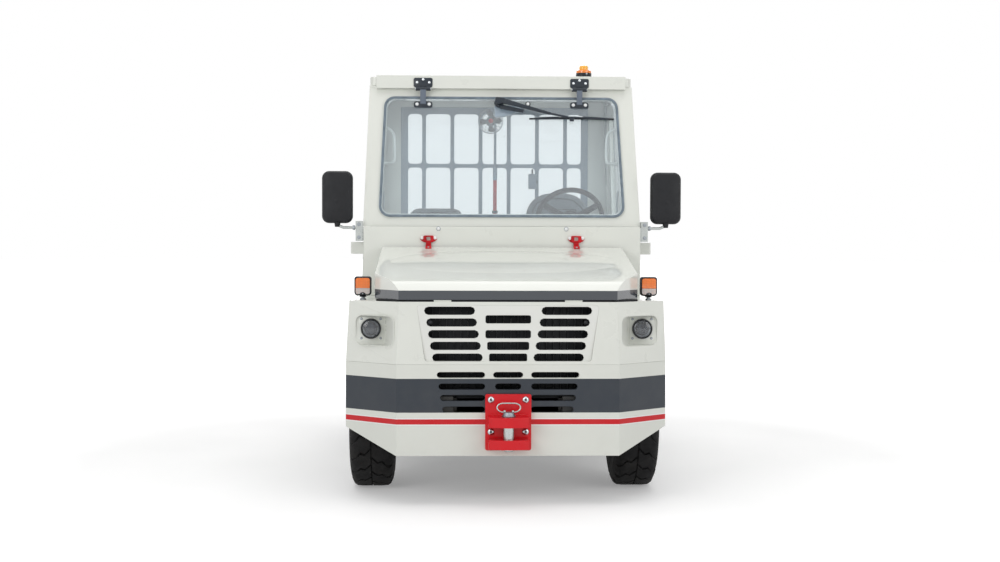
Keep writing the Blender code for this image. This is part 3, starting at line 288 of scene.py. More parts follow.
class Net:
    """A material's node tree, with one Principled shader, read from its object's own coordinates."""

    def __init__(self, name):
        self.material = bpy.data.materials.new(name)
        self.material.use_nodes = True
        self.tree = self.material.node_tree
        self.shader = self.tree.nodes["Principled BSDF"]
        self.place = self.tree.nodes.new("ShaderNodeTexCoord").outputs["Object"]

    def node(self, kind, output=0, settings=None, **inputs):
        node = self.tree.nodes.new("ShaderNode" + kind)
        for key, value in (settings or {}).items():
            setattr(node, key, value)
        for key, value in inputs.items():
            socket = node.inputs[int(key[1:])] if key[0] == "i" and key[1:].isdigit() else node.inputs[key.replace("_", " ")]
            if isinstance(value, bpy.types.NodeSocket):
                self.tree.links.new(value, socket)
            else:
                socket.default_value = value
        return node.outputs[output]

    def noise(self, scale, detail=3, stretch=(1, 1, 1), roughness=0.55, place=None):
        where = place or self.place
        if stretch != (1, 1, 1):
            where = self.node("Mapping", Vector=where, Scale=stretch)
        return self.node("TexNoise", Vector=where, Scale=scale, Detail=detail, Roughness=roughness)

    def ranged(self, value, low, high, to_low=0.0, to_high=1.0):
        return self.node("MapRange", i0=value, i1=low, i2=high, i3=to_low, i4=to_high)

    def math(self, operation, one, two=0.0, third=0.0):
        return self.node("Math", settings={"operation": operation}, i0=one, i1=two, i2=third)

    def mix(self, part, one, two, kind="MIX"):
        return self.node("Mix", 2, {"data_type": "RGBA", "blend_type": kind}, i0=part, i6=one, i7=two)

    def bump(self, height, strength, distance, under=None):
        inputs = {"Height": height, "Strength": strength, "Distance": distance}
        if under is not None:
            inputs["Normal"] = under
        return self.node("Bump", **inputs)

    def axis(self, index, place=None):
        return self.node("SeparateXYZ", index, i0=place or self.place)

    def shade(self, **sockets):
        for key, value in sockets.items():
            socket = self.shader.inputs[key.replace("_", " ")]
            if isinstance(value, bpy.types.NodeSocket):
                self.tree.links.new(value, socket)
            else:
                socket.default_value = value
        return self.material


def rgb(red, green, blue):
    """A colour as it shows on a screen, 0 to 255, as the shader's numbers."""
    return tuple((c / 255 / 12.92 if c < 11 else ((c / 255 + 0.055) / 1.055) ** 2.4) for c in (red, green, blue)) + (1,)


def dimmed(colour, by):
    return tuple(c * by for c in colour[:3]) + (1,)


DUST = rgb(150, 143, 130)


def dusted(net, colour, amount, top=0.75):
    """Adds road dust that thins out with height. Returns the colour and how dusty each place is."""
    height = net.ranged(net.axis(2), 0.05, top, 1.0, 0.0)
    patch = net.ranged(net.noise(9, 5), 0.35, 0.75)
    dust = net.math("MULTIPLY", net.math("MULTIPLY", height, patch), amount)
    return net.mix(dust, colour, DUST), dust


def paint(name, colour, roughness=0.30, coat=0.3, dust=0.06, vary=0.03, peel=0.05, chips=0.0, shine=0.4):
    """Sprayed paint: slight unevenness, orange peel, and road dust low down."""
    net = Net(name)
    shade = net.mix(net.ranged(net.noise(2.3, 3), 0.3, 0.7), dimmed(colour, 1 - vary), dimmed(colour, 1 + vary))
    shade = net.mix(net.ranged(net.noise(41, 4), 0.55, 0.8, 0, 0.35 * vary * 10), shade, dimmed(colour, 0.93))
    if chips:
        chip = net.math("GREATER_THAN", net.noise(95, 6, roughness=0.7), 0.70 - 0.06 * chips)
        shade = net.mix(net.math("MULTIPLY", chip, 0.8), shade, dimmed(colour, 0.35))
    shade, dirt = dusted(net, shade, dust)
    rough = net.ranged(net.noise(13, 4), 0.3, 0.7, roughness - 0.04, roughness + 0.06)
    rough = net.math("ADD", rough, net.math("MULTIPLY", dirt, 0.5))
    bump = net.bump(net.noise(420, 2), peel, 0.0006)
    return net.shade(Base_Color=shade, Roughness=rough, Normal=bump, Coat_Weight=coat, Coat_Roughness=0.06,
                     Specular_IOR_Level=shine)


def banded_paint(name, bands, roughness=0.32, coat=0.12, gloss=0.06):
    """White paint with level bands of other colours: a list of (lower edge, colour) going up."""
    net = Net(name)
    height = net.axis(2)
    colour = bands[0][1]
    for edge, band in bands[1:]:
        colour = net.mix(net.ranged(height, edge - 0.0006, edge + 0.0006), colour, band)
    soft = net.mix(net.ranged(net.noise(2.3, 3), 0.3, 0.7), (0.95, 0.95, 0.95, 1), (1, 1, 1, 1))
    colour = net.mix(1.0, colour, soft, "MULTIPLY")
    colour, dirt = dusted(net, colour, 0.10)
    rough = net.ranged(net.noise(13, 4), 0.3, 0.7, roughness - 0.04, roughness + 0.08)
    rough = net.math("ADD", rough, net.math("MULTIPLY", dirt, 0.5))
    return net.shade(Base_Color=colour, Roughness=rough, Normal=net.bump(net.noise(420, 2), 0.05, 0.0006),
                     Coat_Weight=coat, Coat_Roughness=gloss, Specular_IOR_Level=0.25)


def cab_paint():
    """The cab's white paint outside, and behind the plane of the windscreen the same white painted greyer: painted
    shade for the cab's interior.
    """
    net = Net("cab_frame_paint")
    # Painted shade: behind the windscreen's plane and within the cab's sides the white is painted grey.
    behind = net.math("SUBTRACT", net.axis(1), net.math("MULTIPLY_ADD", net.axis(2), 0.25, -1.0))
    painted_shade_inside = net.math("MULTIPLY", net.ranged(behind, 0.015, 0.017), net.math("LESS_THAN", net.math("ABSOLUTE", net.axis(0)), 0.64))
    shade = net.mix(painted_shade_inside, WHITE, rgb(160, 168, 168))
    shade = net.mix(net.ranged(net.noise(2.3, 3), 0.3, 0.7, 0, 0.05), shade, rgb(170, 172, 168))
    rough = net.ranged(net.noise(13, 4), 0.3, 0.7, 0.28, 0.40)
    return net.shade(Base_Color=shade, Roughness=rough, Normal=net.bump(net.noise(420, 2), 0.05, 0.0006), Coat_Weight=0.35,
                     Coat_Roughness=0.06)


def plastic(name, colour, roughness=0.55, grain=1500, depth=0.25, vary=0.08, dust=0.04, shine=0.25):
    """Moulded plastic with a fine leather-like grain."""
    net = Net(name)
    shade = net.mix(net.ranged(net.noise(14, 4), 0.3, 0.7), dimmed(colour, 1 - vary), dimmed(colour, 1 + vary))
    shade, dirt = dusted(net, shade, dust, 1.2)
    cells = net.node("TexVoronoi", settings={"feature": "DISTANCE_TO_EDGE"}, Vector=net.place, Scale=grain)
    rough = net.ranged(net.noise(30, 4), 0.3, 0.7, roughness - 0.07, roughness + 0.07)
    return net.shade(Base_Color=shade, Roughness=rough, Normal=net.bump(cells, depth, 0.0004), Specular_IOR_Level=shine)


def rubber(name, colour, roughness=0.75, dust=0.3, top=0.9):
    net = Net(name)
    shade = net.mix(net.ranged(net.noise(22, 6), 0.3, 0.72), dimmed(colour, 0.75), dimmed(colour, 1.3))
    shade, dirt = dusted(net, shade, dust, top)
    rough = net.ranged(net.noise(35, 5), 0.3, 0.7, roughness - 0.1, roughness + 0.12)
    return net.shade(Base_Color=shade, Roughness=rough, Normal=net.bump(net.noise(300, 6, roughness=0.7), 0.3, 0.0008),
                     Specular_IOR_Level=0.25)


def metal(name, colour, roughness=0.3, brush=(1, 1, 1), vary=0.06, tarnish=0.1):
    """Bare metal. brush stretches its fine scratches along the small number's axis."""
    net = Net(name)
    lines = net.noise(700, 3, brush)
    shade = net.mix(net.ranged(lines, 0.3, 0.7), dimmed(colour, 1 - vary), dimmed(colour, 1 + vary))
    shade = net.mix(net.ranged(net.noise(25, 5), 0.5, 0.8, 0, tarnish), shade, rgb(92, 84, 74))
    rough = net.ranged(net.noise(40, 4), 0.3, 0.7, roughness - 0.08, roughness + 0.1)
    return net.shade(Base_Color=shade, Roughness=rough, Metallic=1.0, Normal=net.bump(lines, 0.12, 0.0003))


def cloth(name, colour, pitch=0.0016):
    """Woven seat cloth: threads crossing at right angles, with sheen."""
    net = Net(name)
    waves = []
    for direction, turn in (("X", 0), ("Z", 0.0)):
        waves.append(net.node("TexWave", 1, {"wave_type": "BANDS", "bands_direction": direction},
                              Vector=net.place, Scale=1 / pitch / 3.3, Distortion=0.6, Detail=1.0))
    weave = net.math("MULTIPLY", waves[0], waves[1])
    shade = net.mix(net.ranged(weave, 0.0, 0.6), dimmed(colour, 0.72), dimmed(colour, 1.15))
    shade = net.mix(net.ranged(net.noise(6, 5), 0.35, 0.7, 0, 0.35), shade, dimmed(colour, 0.8))
    bump = net.bump(weave, 0.5, 0.0008)
    bump = net.bump(net.noise(28, 4), 0.25, 0.003, bump)
    rough = net.ranged(net.noise(50, 3), 0.3, 0.7, 0.82, 0.95)
    return net.shade(Base_Color=shade, Roughness=rough, Normal=bump, Sheen_Weight=0.35, Sheen_Roughness=0.5)


def glass(name, tint, reflect=1.52, haze=0.0, ribs=0.0, veil=0.0):
    """Glass that lets lamps through, with faint smears. ribs presses a lens pattern into it, and veil is a film on it."""
    net = Net(name)
    rough = net.ranged(net.noise(7, 5), 0.4, 0.75, haze, haze + 0.02)
    net.shade(Base_Color=tint, Roughness=rough, Transmission_Weight=1.0 - veil, IOR=reflect)
    if ribs:
        squares = net.node("TexVoronoi", settings={"distance": "CHEBYCHEV"}, Vector=net.place, Scale=1 / ribs, Randomness=0.0)
        net.shade(Normal=net.bump(squares, 0.6, 0.002))
    clear = net.tree.nodes.new("ShaderNodeBsdfTransparent")
    clear.inputs["Color"].default_value = tint
    ray = net.tree.nodes.new("ShaderNodeLightPath")
    mixed = net.tree.nodes.new("ShaderNodeMixShader")
    net.tree.links.new(ray.outputs["Is Shadow Ray"], mixed.inputs[0])
    net.tree.links.new(net.shader.outputs[0], mixed.inputs[1])
    net.tree.links.new(clear.outputs[0], mixed.inputs[2])
    net.tree.links.new(mixed.outputs[0], net.tree.nodes["Material Output"].inputs["Surface"])
    return net.material


def lens(name, colour, glow=0.0, ribs=0.008):
    """Moulded lamp plastic over a reflector: coloured, glossy, with a pressed grid."""
    net = Net(name)
    squares = net.node("TexVoronoi", settings={"distance": "CHEBYCHEV"}, Vector=net.place, Scale=1 / ribs, Randomness=0.0)
    shade = net.mix(net.ranged(squares, 0.1, 0.6), dimmed(colour, 1.1), dimmed(colour, 0.75))
    shade = net.mix(net.ranged(net.noise(60, 3), 0.4, 0.8, 0, 0.3), shade, dimmed(colour, 0.7))
    rough = net.ranged(net.noise(40, 3), 0.3, 0.7, 0.12, 0.2)
    return net.shade(Base_Color=shade, Roughness=rough, Coat_Weight=0.8, Coat_Roughness=0.03, Subsurface_Weight=0.15,
                     Subsurface_Scale=0.004, Normal=net.bump(squares, 0.35, 0.0012), Emission_Color=colour,
                     Emission_Strength=glow)


WHITE = rgb(221, 223, 216)
CHARCOAL = rgb(48, 54, 62)
RED = rgb(200, 16, 28)
STRIPE_LOW, STRIPE_HIGH = 0.374, 0.398
BAND_LOW, BAND_HIGH = 0.428, 0.583
PINSTRIPE = 0.004
PALE = rgb(236, 238, 238)
BANDS = [(0.0, WHITE), (STRIPE_LOW - PINSTRIPE, PALE), (STRIPE_LOW, RED), (STRIPE_HIGH, PALE),
         (STRIPE_HIGH + PINSTRIPE, WHITE), (BAND_LOW, CHARCOAL), (BAND_HIGH, WHITE)]
BONNET_LIP_TOP = 0.984

LOOKS = {
    "body_white": paint("body_white_paint", WHITE),
    "banded": banded_paint("bumper_paint", BANDS),
    "bonnet": banded_paint("bonnet_paint", [(0.0, CHARCOAL), (BONNET_LIP_TOP, WHITE)], 0.13, 1.0, 0.02),
    "grille_white": paint("grille_paint", rgb(222, 223, 218), 0.36, 0.3),
    "hitch_red": paint("hitch_paint", rgb(206, 14, 28), 0.30, 0.10, 0.03, 0.06, 0.12, 0.25, 0.25),
    "latch_red": rubber("latch_rubber", rgb(186, 26, 34), 0.5, 0.05),
    "chassis_black": paint("chassis_paint", rgb(30, 31, 32), 0.5, 0.1, 0.35, 0.1, 0.15),
    "black_paint": paint("hinge_paint", rgb(38, 45, 53), 0.38, 0.08, 0.03, 0.08, 0.1, 0.0, 0.3),
    "black_plastic": plastic("black_plastic", rgb(27, 28, 31)),
    "dash_plastic": plastic("dash_plastic", rgb(58, 62, 66), 0.6, 900),
    "interior_grey": paint("interior_paint", rgb(150, 158, 160), 0.5, 0.05, 0.12, 0.05, 0.15),
    "interior_white": paint("interior_white_paint", rgb(206, 210, 206), 0.4, 0.2, 0.03),
    "cap_white": plastic("bolt_cap", rgb(232, 234, 234), 0.3, 500, 0.05, 0.02, 0.0),
    "hinge_arm": paint("hinge_arm_paint", rgb(96, 106, 120), 0.42, 0.2, 0.05, 0.05, 0.1),
    "cab_frame": cab_paint(),
    "guard": paint("guard_paint", rgb(132, 146, 158), 0.42, 0.1, 0.03, 0.05, 0.1),
    "seat": cloth("seat_cloth", rgb(112, 121, 126)),
    "seat_vinyl": plastic("seat_vinyl", rgb(62, 68, 74), 0.5, 800, 0.3),
    "tyre": rubber("tyre_rubber", rgb(20, 20, 21), 0.8, 0.05, 0.4),
    "rim": paint("rim_paint", rgb(222, 223, 220), 0.32, 0.4, 0.25, 0.03, 0.08),
    "steel": metal("bright_steel", rgb(172, 176, 174), 0.26, (1, 1, 0.02)),
    "zinc": metal("zinc_plate", rgb(146, 151, 156), 0.38, (1, 1, 1), 0.1, 0.2),
    "chrome": metal("chrome", rgb(190, 194, 197), 0.16, (1, 1, 1), 0.02, 0.0),
    "cast": paint("cast_iron", rgb(64, 68, 70), 0.6, 0.0, 0.3, 0.12, 0.5),
    "alloy": metal("cast_alloy", rgb(150, 152, 152), 0.5, (1, 1, 1), 0.12, 0.35),
    "seal": rubber("seal_rubber", rgb(28, 30, 33), 0.6, 0.05),
    "glazing": rubber("glazing_rubber", rgb(112, 124, 134), 0.5, 0.02),
    "glass": glass("safety_glass", rgb(243, 247, 246)),
    "windscreen": glass("windscreen_glass", rgb(236, 242, 246), 1.55, veil=0.10),
    "lamp_glass": glass("lamp_glass", rgb(240, 243, 245), 1.5),
    "lamp_lens": plastic("projector_lens", rgb(46, 50, 56), 0.06, 60, 0.0, 0.2, 0.0),
    "reflector": metal("reflector", rgb(214, 218, 222), 0.3, (1, 1, 1), 0.03, 0.0),
    "amber": lens("amber_lens", rgb(238, 118, 16), 0.04),
    "clear": lens("clear_lens", rgb(205, 192, 188)),
    "red_lens": lens("red_lens", rgb(186, 18, 22), 0.02),
    "beacon": lens("beacon_lens", rgb(246, 178, 24), 0.05, 0.006),
    "beacon_base": lens("beacon_base_lens", rgb(240, 130, 26), 0.02, 0.01),
    "mirror": metal("mirror_glass", rgb(206, 210, 214), 0.06, (1, 1, 1), 0.01, 0.0),
    "lamp_dark": plastic("lamp_housing", rgb(34, 36, 40), 0.3, 600, 0.05),
}

SLOT_LOOK = {"guard_blue_grey": "guard", "seat_grey": "seat", "rim_white": "rim", "engine_grey": "cast",
             "lamp_clear": "clear", "lamp_red": "red_lens"}
NODE_LOOK = {"front_bumper": "banded", "rear_bumper": "banded", "bonnet": "bonnet", "dashboard": "dash_plastic",
             "cab_frame": "cab_frame", "windscreen": "windscreen"}

SKY = 0.42
FLOOR_GLOW = 0.26
LAMPS = (
    ("overhead", (0, -0.6, 5.2), (0, 0, 0.8), (6, 6), 140),
    ("front_left", (-4.2, -6.2, 3.0), (0, -0.6, 0.9), (4, 3), 130),
    ("front_right", (4.6, -5.4, 2.6), (0, -0.6, 0.9), (4, 3), 95),
    ("rear", (0, 6.5, 3.2), (0, 1.0, 1.0), (5, 3), 110),
)


# Cab: seats

from mathutils.bvhtree import BVHTree
from mathutils.kdtree import KDTree


def hexagon(place, axis, flats, height, steps=6):
    return turned([(0, 0), (flats, 0), (flats, height * 0.85), (flats * 0.85, height), (0, height)], place, axis, steps)


def simulate(obj, cap, pressure=4.0):
    """Swells a pad as stuffed cloth, and keeps each point within cap metres of where it started."""
    mesh = obj.data
    start = [vertex.co.copy() for vertex in mesh.vertices]
    modifier = obj.modifiers.new("cloth", "CLOTH")
    modifier.settings.use_pressure = True
    modifier.settings.uniform_pressure_force = pressure
    modifier.settings.effector_weights.gravity = 0
    modifier.settings.quality = 5
    modifier.point_cache.frame_start, modifier.point_cache.frame_end = 1, 20
    for number in range(1, 21):
        bpy.context.scene.frame_set(number)
    swollen = obj.evaluated_get(bpy.context.evaluated_depsgraph_get()).to_mesh()
    ends = [vertex.co.copy() for vertex in swollen.vertices]
    obj.modifiers.remove(modifier)
    bpy.context.scene.frame_set(1)
    for vertex, one, two in zip(mesh.vertices, start, ends):
        shift = two - one
        vertex.co = one + (shift if shift.length <= cap else shift.normalized() * cap)


def pad(name, shape, look, cap, low, high, seams, fill=0.6):
    """A stuffed seat pad: remeshed, swollen by cloth simulation, kept within its CAD place, with piping on its seams."""
    mesh = bpy.data.meshes.new(name)
    bmesh.ops.translate(shape, vec=(0, FRONT, 0), verts=shape.verts)
    shape.to_mesh(mesh)
    shape.free()
    obj = finished(name, mesh, [LOOKS[look]], "chassis", (), 60)
    remesh = obj.modifiers.new("remesh", "REMESH")
    remesh.mode, remesh.voxel_size = "VOXEL", 0.009
    fine = bpy.data.meshes.new_from_object(obj.evaluated_get(bpy.context.evaluated_depsgraph_get()))
    obj.modifiers.remove(remesh)
    obj.data = fine
    fine.materials.clear()
    fine.materials.append(LOOKS[look])
    simulate(obj, cap)
    for vertex in fine.vertices:
        for k, shift in ((0, 0), (1, FRONT), (2, 0)):
            vertex.co[k] = min(max(vertex.co[k], low[k] + shift), high[k] + shift)
    round_off = obj.modifiers.new("round", "SUBSURF")
    round_off.levels = round_off.render_levels = 1
    smoothed = bpy.data.meshes.new_from_object(obj.evaluated_get(bpy.context.evaluated_depsgraph_get()))
    obj.modifiers.remove(round_off)
    obj.data = smoothed
    tree = BVHTree.FromPolygons([v.co for v in smoothed.vertices], [p.vertices[:] for p in smoothed.polygons])
    lines = []
    for closed, path in seams:
        found = [tree.find_nearest(Vector(spot) + Vector((0, FRONT, 0)))[0] for spot in smooth_path(path, 8, closed)]
        lines.append((closed, found))
    seam = KDTree(sum(len(line) for _, line in lines))
    for _, line in lines:
        for spot in line:
            seam.insert(spot, 0)
    seam.balance()
    normals = [vertex.normal.copy() for vertex in smoothed.vertices]
    for vertex, normal in zip(smoothed.vertices, normals):
        near = seam.find(vertex.co)[2]
        vertex.co -= normal * 0.004 * max(0.0, 1 - near / 0.022) ** 2
    smoothed.polygons.foreach_set("use_smooth", [True] * len(smoothed.polygons))
    piping = Piece(name + "_piping", "chassis", "seat_grey")
    for closed, line in lines:
        kept = [spot - Vector((0, FRONT, 0)) for spot in line]
        kept = [spot for k, spot in enumerate(kept) if k == 0 or (spot - kept[k - 1]).length > 0.002]
        piping.add("seat_vinyl", tube(kept, 0.0034, 8, closed))
    piping.done()
    return obj


def seat(who, back_round, top_width):
    low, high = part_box(f"{who}_seat")
    x0, x1, top = low.x, high.x, high.z
    middle, half = (x0 + x1) / 2, (x1 - x0) / 2
    base = low.z
    room_low, room_high = (x0 + 0.001, 1.160, base + 0.03), (x1 - 0.001, 1.700, base + 0.150)
    plan = rounded(rectangle((x0 + 0.012, x1 - 0.012), (1.172, 1.610)), 0.055, 6)
    cushion = slab(plan, base + 0.040, base + 0.134, "plan", 0.030, 4)
    front_seam = rounded(rectangle((x0 + 0.030, x1 - 0.030), (1.190, 1.590)), 0.050, 4)
    channels = [(False, [(middle + way * half * 0.42, 1.195, base + 0.16), (middle + way * half * 0.42, 1.38, base + 0.16),
                         (middle + way * half * 0.42, 1.560, base + 0.16)]) for way in (-1, 1)]
    cross = [(False, [(middle - half * 0.42, 1.30, base + 0.16), (middle, 1.30, base + 0.16),
                      (middle + half * 0.42, 1.30, base + 0.16)])]
    pad(f"{who}_cushion", cushion, "seat", 0.016, room_low, room_high,
        [(True, [(x, s, base + 0.16) for x, s in front_seam])] + channels + cross)
    tall = top - (base + 0.150)
    lean = (1.630 - 1.553) / tall

    def leaned(shape):
        for vertex in shape.verts:
            vertex.co.y += 1.553 + (vertex.co.z - base - 0.150) * lean
        return shape

    corners = [(x0 + 0.010, base + 0.155), (x1 - 0.010, base + 0.155), (middle + half * top_width, top - 0.012),
               (middle - half * top_width, top - 0.012)]
    outline = rounded(corners, [0.05, 0.05, back_round, back_round], 8)
    back = leaned(slab(outline, 0.008, 0.076, "front", 0.026, 4))
    inner = [(middle + (x - middle) * 0.90, (top + base + 0.15) / 2 + (z - (top + base + 0.15) / 2) * 0.93) for x, z in outline[::3]]
    loop = [(x, 1.50 + (z - base - 0.150) * lean, z) for x, z in inner]
    wings = [(False, [(middle + way * half * 0.46, 1.50 + (z - base - 0.150) * lean, z)
                      for z in (base + 0.19, base + 0.15 + tall * 0.45, base + 0.15 + tall * 0.80)]) for way in (-1, 1)]
    yoke = [(False, [(middle + part * half * 0.46, 1.50 + tall * 0.8 * lean, base + 0.15 + tall * 0.80) for part in (-1, 0, 1)])]
    pad(f"{who}_backrest", back, "seat", 0.012, (x0 + 0.001, 1.52, base + 0.140), (x1 - 0.001, 1.716, top),
        [(True, loop)] + wings + yoke)
    frame_piece = Piece(f"{who}_seat_frame", "chassis", "seat_grey")
    frame_piece.add("black_paint", block((x0 + 0.03, x1 - 0.03), (1.19, 1.60), (base + 0.020, base + 0.046), 0.004))
    for way in (-1, 1):
        x = middle + way * (half - 0.075)
        frame_piece.add("black_paint", block((x - 0.016, x + 0.016), (1.175, 1.640), (base + 0.0005, base + 0.020), 0.002))
        x = middle + way * (half - 0.020)
        side = rounded([(1.52, base + 0.025), (1.655, base + 0.025), (1.690, base + 0.20), (1.675, base + 0.21),
                        (1.60, base + 0.075), (1.52, base + 0.060)], 0.008, 3)
        frame_piece.add("black_paint", slab(side, x - 0.004, x + 0.004, "side", 0.0015))
        frame_piece.add("zinc", hexagon((x + way * 0.004, 1.628, base + 0.085), (way, 0, 0), 0.010, 0.008))
    shell = leaned(slab([(middle + (x - middle) * 0.93, base + 0.17 + (z - base - 0.17) * 0.965) for x, z in outline], 0.073, 0.084,
                        "front", 0.004))
    frame_piece.add("black_plastic", shell)
    frame_piece.done(f"{who}_seat")


seat("driver", 0.150, 0.84)
seat("passenger", 0.060, 0.93)
NODE_SLOT = {part["node"]: part["material_slot"] for part in frame["record"]["subparts"]}


# CAD pieces kept as they are, with their edges rounded

def skin(node, ease=0.0015, look=None, smooth=38, segments=2):
    """A copy of a CAD node with its edges rounded, which stands for it."""
    bm = bmesh.new()
    bm.from_mesh(frame["nodes"][node].data)
    bmesh.ops.remove_doubles(bm, verts=bm.verts, dist=2e-5)
    bmesh.ops.dissolve_limit(bm, angle_limit=math.radians(1.5), verts=bm.verts, edges=bm.edges)
    mesh = bpy.data.meshes.new(node + "_skin")
    bm.to_mesh(mesh)
    bm.free()
    name = look or NODE_LOOK.get(node) or SLOT_LOOK.get(NODE_SLOT[node], NODE_SLOT[node])
    obj = finished(node + "_skin", mesh, [LOOKS[name]], NODE_BODY[node], [node], smooth)
    if ease:
        bevel = obj.modifiers.new("edges", "BEVEL")
        bevel.width, bevel.segments, bevel.limit_method = ease, segments, "ANGLE"
        bevel.angle_limit = math.radians(28)
        bevel.use_clamp_overlap = True
        bevel.harden_normals = True
    return obj


for kept, width in (("front_bumper", 0.004), ("front_fascia", 0.0025), ("grille_panel", 0.0015), ("wing_left", 0.003),
                    ("wing_right", 0.003), ("bonnet", 0.004), ("cowl", 0.003), ("cab_frame", 0.003), ("roof", 0.004),
                    ("rear_wall", 0.003), ("door_left", 0.002), ("door_right", 0.002), ("body_side_left", 0.003),
                    ("body_side_right", 0.003), ("rear_deck", 0.002), ("rear_bumper", 0.004), ("front_hitch", 0.003),
                    ("rear_hitch", 0.003), ("chassis_frame", 0.003), ("cab_floor", 0.003), ("dashboard", 0.006),
                    ("front_axle", 0.004), ("rear_axle", 0.003), ("knuckle_left", 0.002), ("knuckle_right", 0.002),
                    ("tie_rod", 0.002), ("rear_window_guard", 0.0015), ("radiator", 0.003), ("engine_block", 0.008),
                    ("mirror_arm_left", 0.0015),
                    ("mirror_arm_right", 0.0015)):
    skin(kept, width)


# Wheels

AXLE_Z = 0.3321
TYRE_HALF = 0.106
LUGS = 22


def lug(middle, side, pitch):
    """One tread block, from the middle of the tread over the shoulder, as a closed shell sunk into the carcass."""
    across = (0.003, 0.030, 0.052, 0.074, 0.088, 0.099)
    tops = (0.3321, 0.3321, 0.3318, 0.3300, 0.3210, 0.2980)
    bend = (0.0, 0.34, 0.26, 0.60, 0.66, 0.68)
    top, low = [], []
    for x, radius, part in zip(across, tops, bend):
        width = 0.43 if x < 0.08 else 0.33
        for step in range(5):
            angle = middle + pitch * (part - 0.3 + width * (step / 2 - 1))
            for ring, depth in ((top, 0.0), (low, 0.014)):
                ring.append((side * (x - depth * (x > 0.09)), (radius - depth) * math.cos(angle),
                             (radius - depth) * math.sin(angle)))
    n, wide = len(across), 5
    quad = [[r * wide + c, r * wide + c + 1, (r + 1) * wide + c + 1, (r + 1) * wide + c]
            for r in range(n - 1) for c in range(wide - 1)]
    edge = list(range(wide)) + [r * wide + wide - 1 for r in range(1, n)] \
        + [(n - 1) * wide + c for c in range(wide - 2, -1, -1)] + [r * wide for r in range(n - 2, 0, -1)]
    sides = [[a, b, b + n * wide, a + n * wide] for a, b in zip(edge, edge[1:] + edge[:1])]
    return solid(top + low, quad + [[i + n * wide for i in face][::-1] for face in quad] + sides)


def tyre(name, body, node, sign, s):
    piece = Piece(name, body, "tyre", sign)
    profile = [(0.152, -0.074), (0.166, -0.084), (0.172, -0.090), (0.180, -0.089), (0.186, -0.096), (0.215, -0.103),
               (0.248, -0.1055), (0.262, -0.1058), (0.266, -0.1035), (0.284, -0.102), (0.300, -0.096),
               (0.312, -0.086), (0.3195, -0.070), (0.322, -0.035), (0.322, 0.0)]
    profile += [(radius, -x) for radius, x in profile[-2::-1]] + [(0.152, -0.074)]
    shapes = [turned(profile, (0, 0, 0), (1, 0, 0), 96)]
    pitch = 2 * math.pi / LUGS
    for k in range(LUGS):
        shapes += [lug(k * pitch, 1, pitch), lug((k + 0.5) * pitch, -1, pitch)]
    for shape in shapes:
        piece.add("tyre", moved(shape, (0.638, s, AXLE_Z)))
    piece.done(node, smooth=38)


def wheel_disc(steps=96):
    """The pressed disc of the wheel, with eight hand holes and a wall thickness."""
    radii = ((0.034, 0.046), (0.050, 0.046), (0.056, 0.036), (0.088, 0.034), (0.094, 0.028), (0.100, 0.018),
             (0.106, 0.008), (0.122, -0.004), (0.130, -0.004), (0.138, -0.012), (0.140, -0.026))
    bm = bmesh.new()
    rings = [[bm.verts.new((x, r * math.cos(2 * math.pi * i / steps), r * math.sin(2 * math.pi * i / steps)))
              for i in range(steps)] for r, x in radii]
    for k in range(len(radii) - 1):
        for i in range(steps):
            hole = radii[k][0] in (0.100, 0.106) and i % 12 in (0, 1, 2, 3)
            if not hole:
                bm.faces.new([rings[k][i], rings[k][(i + 1) % steps], rings[k + 1][(i + 1) % steps], rings[k + 1][i]])
    bmesh.ops.recalc_face_normals(bm, faces=bm.faces)
    bmesh.ops.solidify(bm, geom=bm.faces[:], thickness=0.006)
    return bm


def rim(name, body, node, sign, s):
    piece = Piece(name, body, "rim_white", sign)
    barrel = [(0.1665, 0.085), (0.1665, 0.081), (0.156, 0.078), (0.151, 0.066), (0.150, 0.052), (0.141, 0.040),
              (0.1395, -0.050), (0.150, -0.064), (0.156, -0.078), (0.1665, -0.081), (0.1665, -0.085), (0.158, -0.0845),
              (0.147, -0.070), (0.136, -0.052), (0.1355, 0.034), (0.146, 0.055), (0.149, 0.072), (0.158, 0.0845),
              (0.1665, 0.085)]
    shapes = [turned(barrel, (0, 0, 0), (1, 0, 0), 96), wheel_disc()]
    for shape in shapes:
        piece.add("rim", moved(shape, (0.638, s, AXLE_Z)))
    nuts = []
    for k in range(6):
        angle = 2 * math.pi * (k + 0.5) / 6
        place = (0.034, 0.072 * math.cos(angle), 0.072 * math.sin(angle))
        nuts += [turned([(0, 0), (0.015, 0), (0.013, 0.004), (0, 0.004)], place, (1, 0, 0), 24),
                 hexagon((place[0] + 0.003, place[1], place[2]), (1, 0, 0), 0.0115, 0.012),
                 rod((place[0] + 0.010, place[1], place[2]), (place[0] + 0.021, place[1], place[2]), 0.006, steps=12)]
    for shape in nuts:
        piece.add("zinc", moved(shape, (0.638, s, AXLE_Z)))
    cap = turned([(0, 0.060), (0.020, 0.058), (0.030, 0.050), (0.034, 0.036), (0.034, 0.0), (0, 0.0)], axis=(1, 0, 0))
    cap.transform(Matrix.Rotation(0, 4, "X"))
    piece.add("black_paint", moved(cap, (0.638 + 0.006, s, AXLE_Z)))
    stem = tube(smooth_path([(0.020, 0, 0.132), (0.034, 0, 0.128), (0.052, 0, 0.121)]), 0.0036, 10)
    piece.add("seal", moved(stem, (0.638, s, AXLE_Z)))
    piece.add("black_plastic", moved(rod((0.050, 0, 0.1217), (0.060, 0, 0.118), 0.0052, 0.0045, 12), (0.638, s, AXLE_Z)))
    piece.done(node)


for end, s in (("front", 0.60), ("rear", 2.25)):
    for side, sign in BOTH:
        tyre(f"tyre_{end}_{side}_treaded", f"wheel_{end}_{side}", f"tyre_{end}_{side}", sign, s)
        rim(f"rim_{end}_{side}_disc", f"wheel_{end}_{side}", f"rim_{end}_{side}", sign, s)


# Lamps

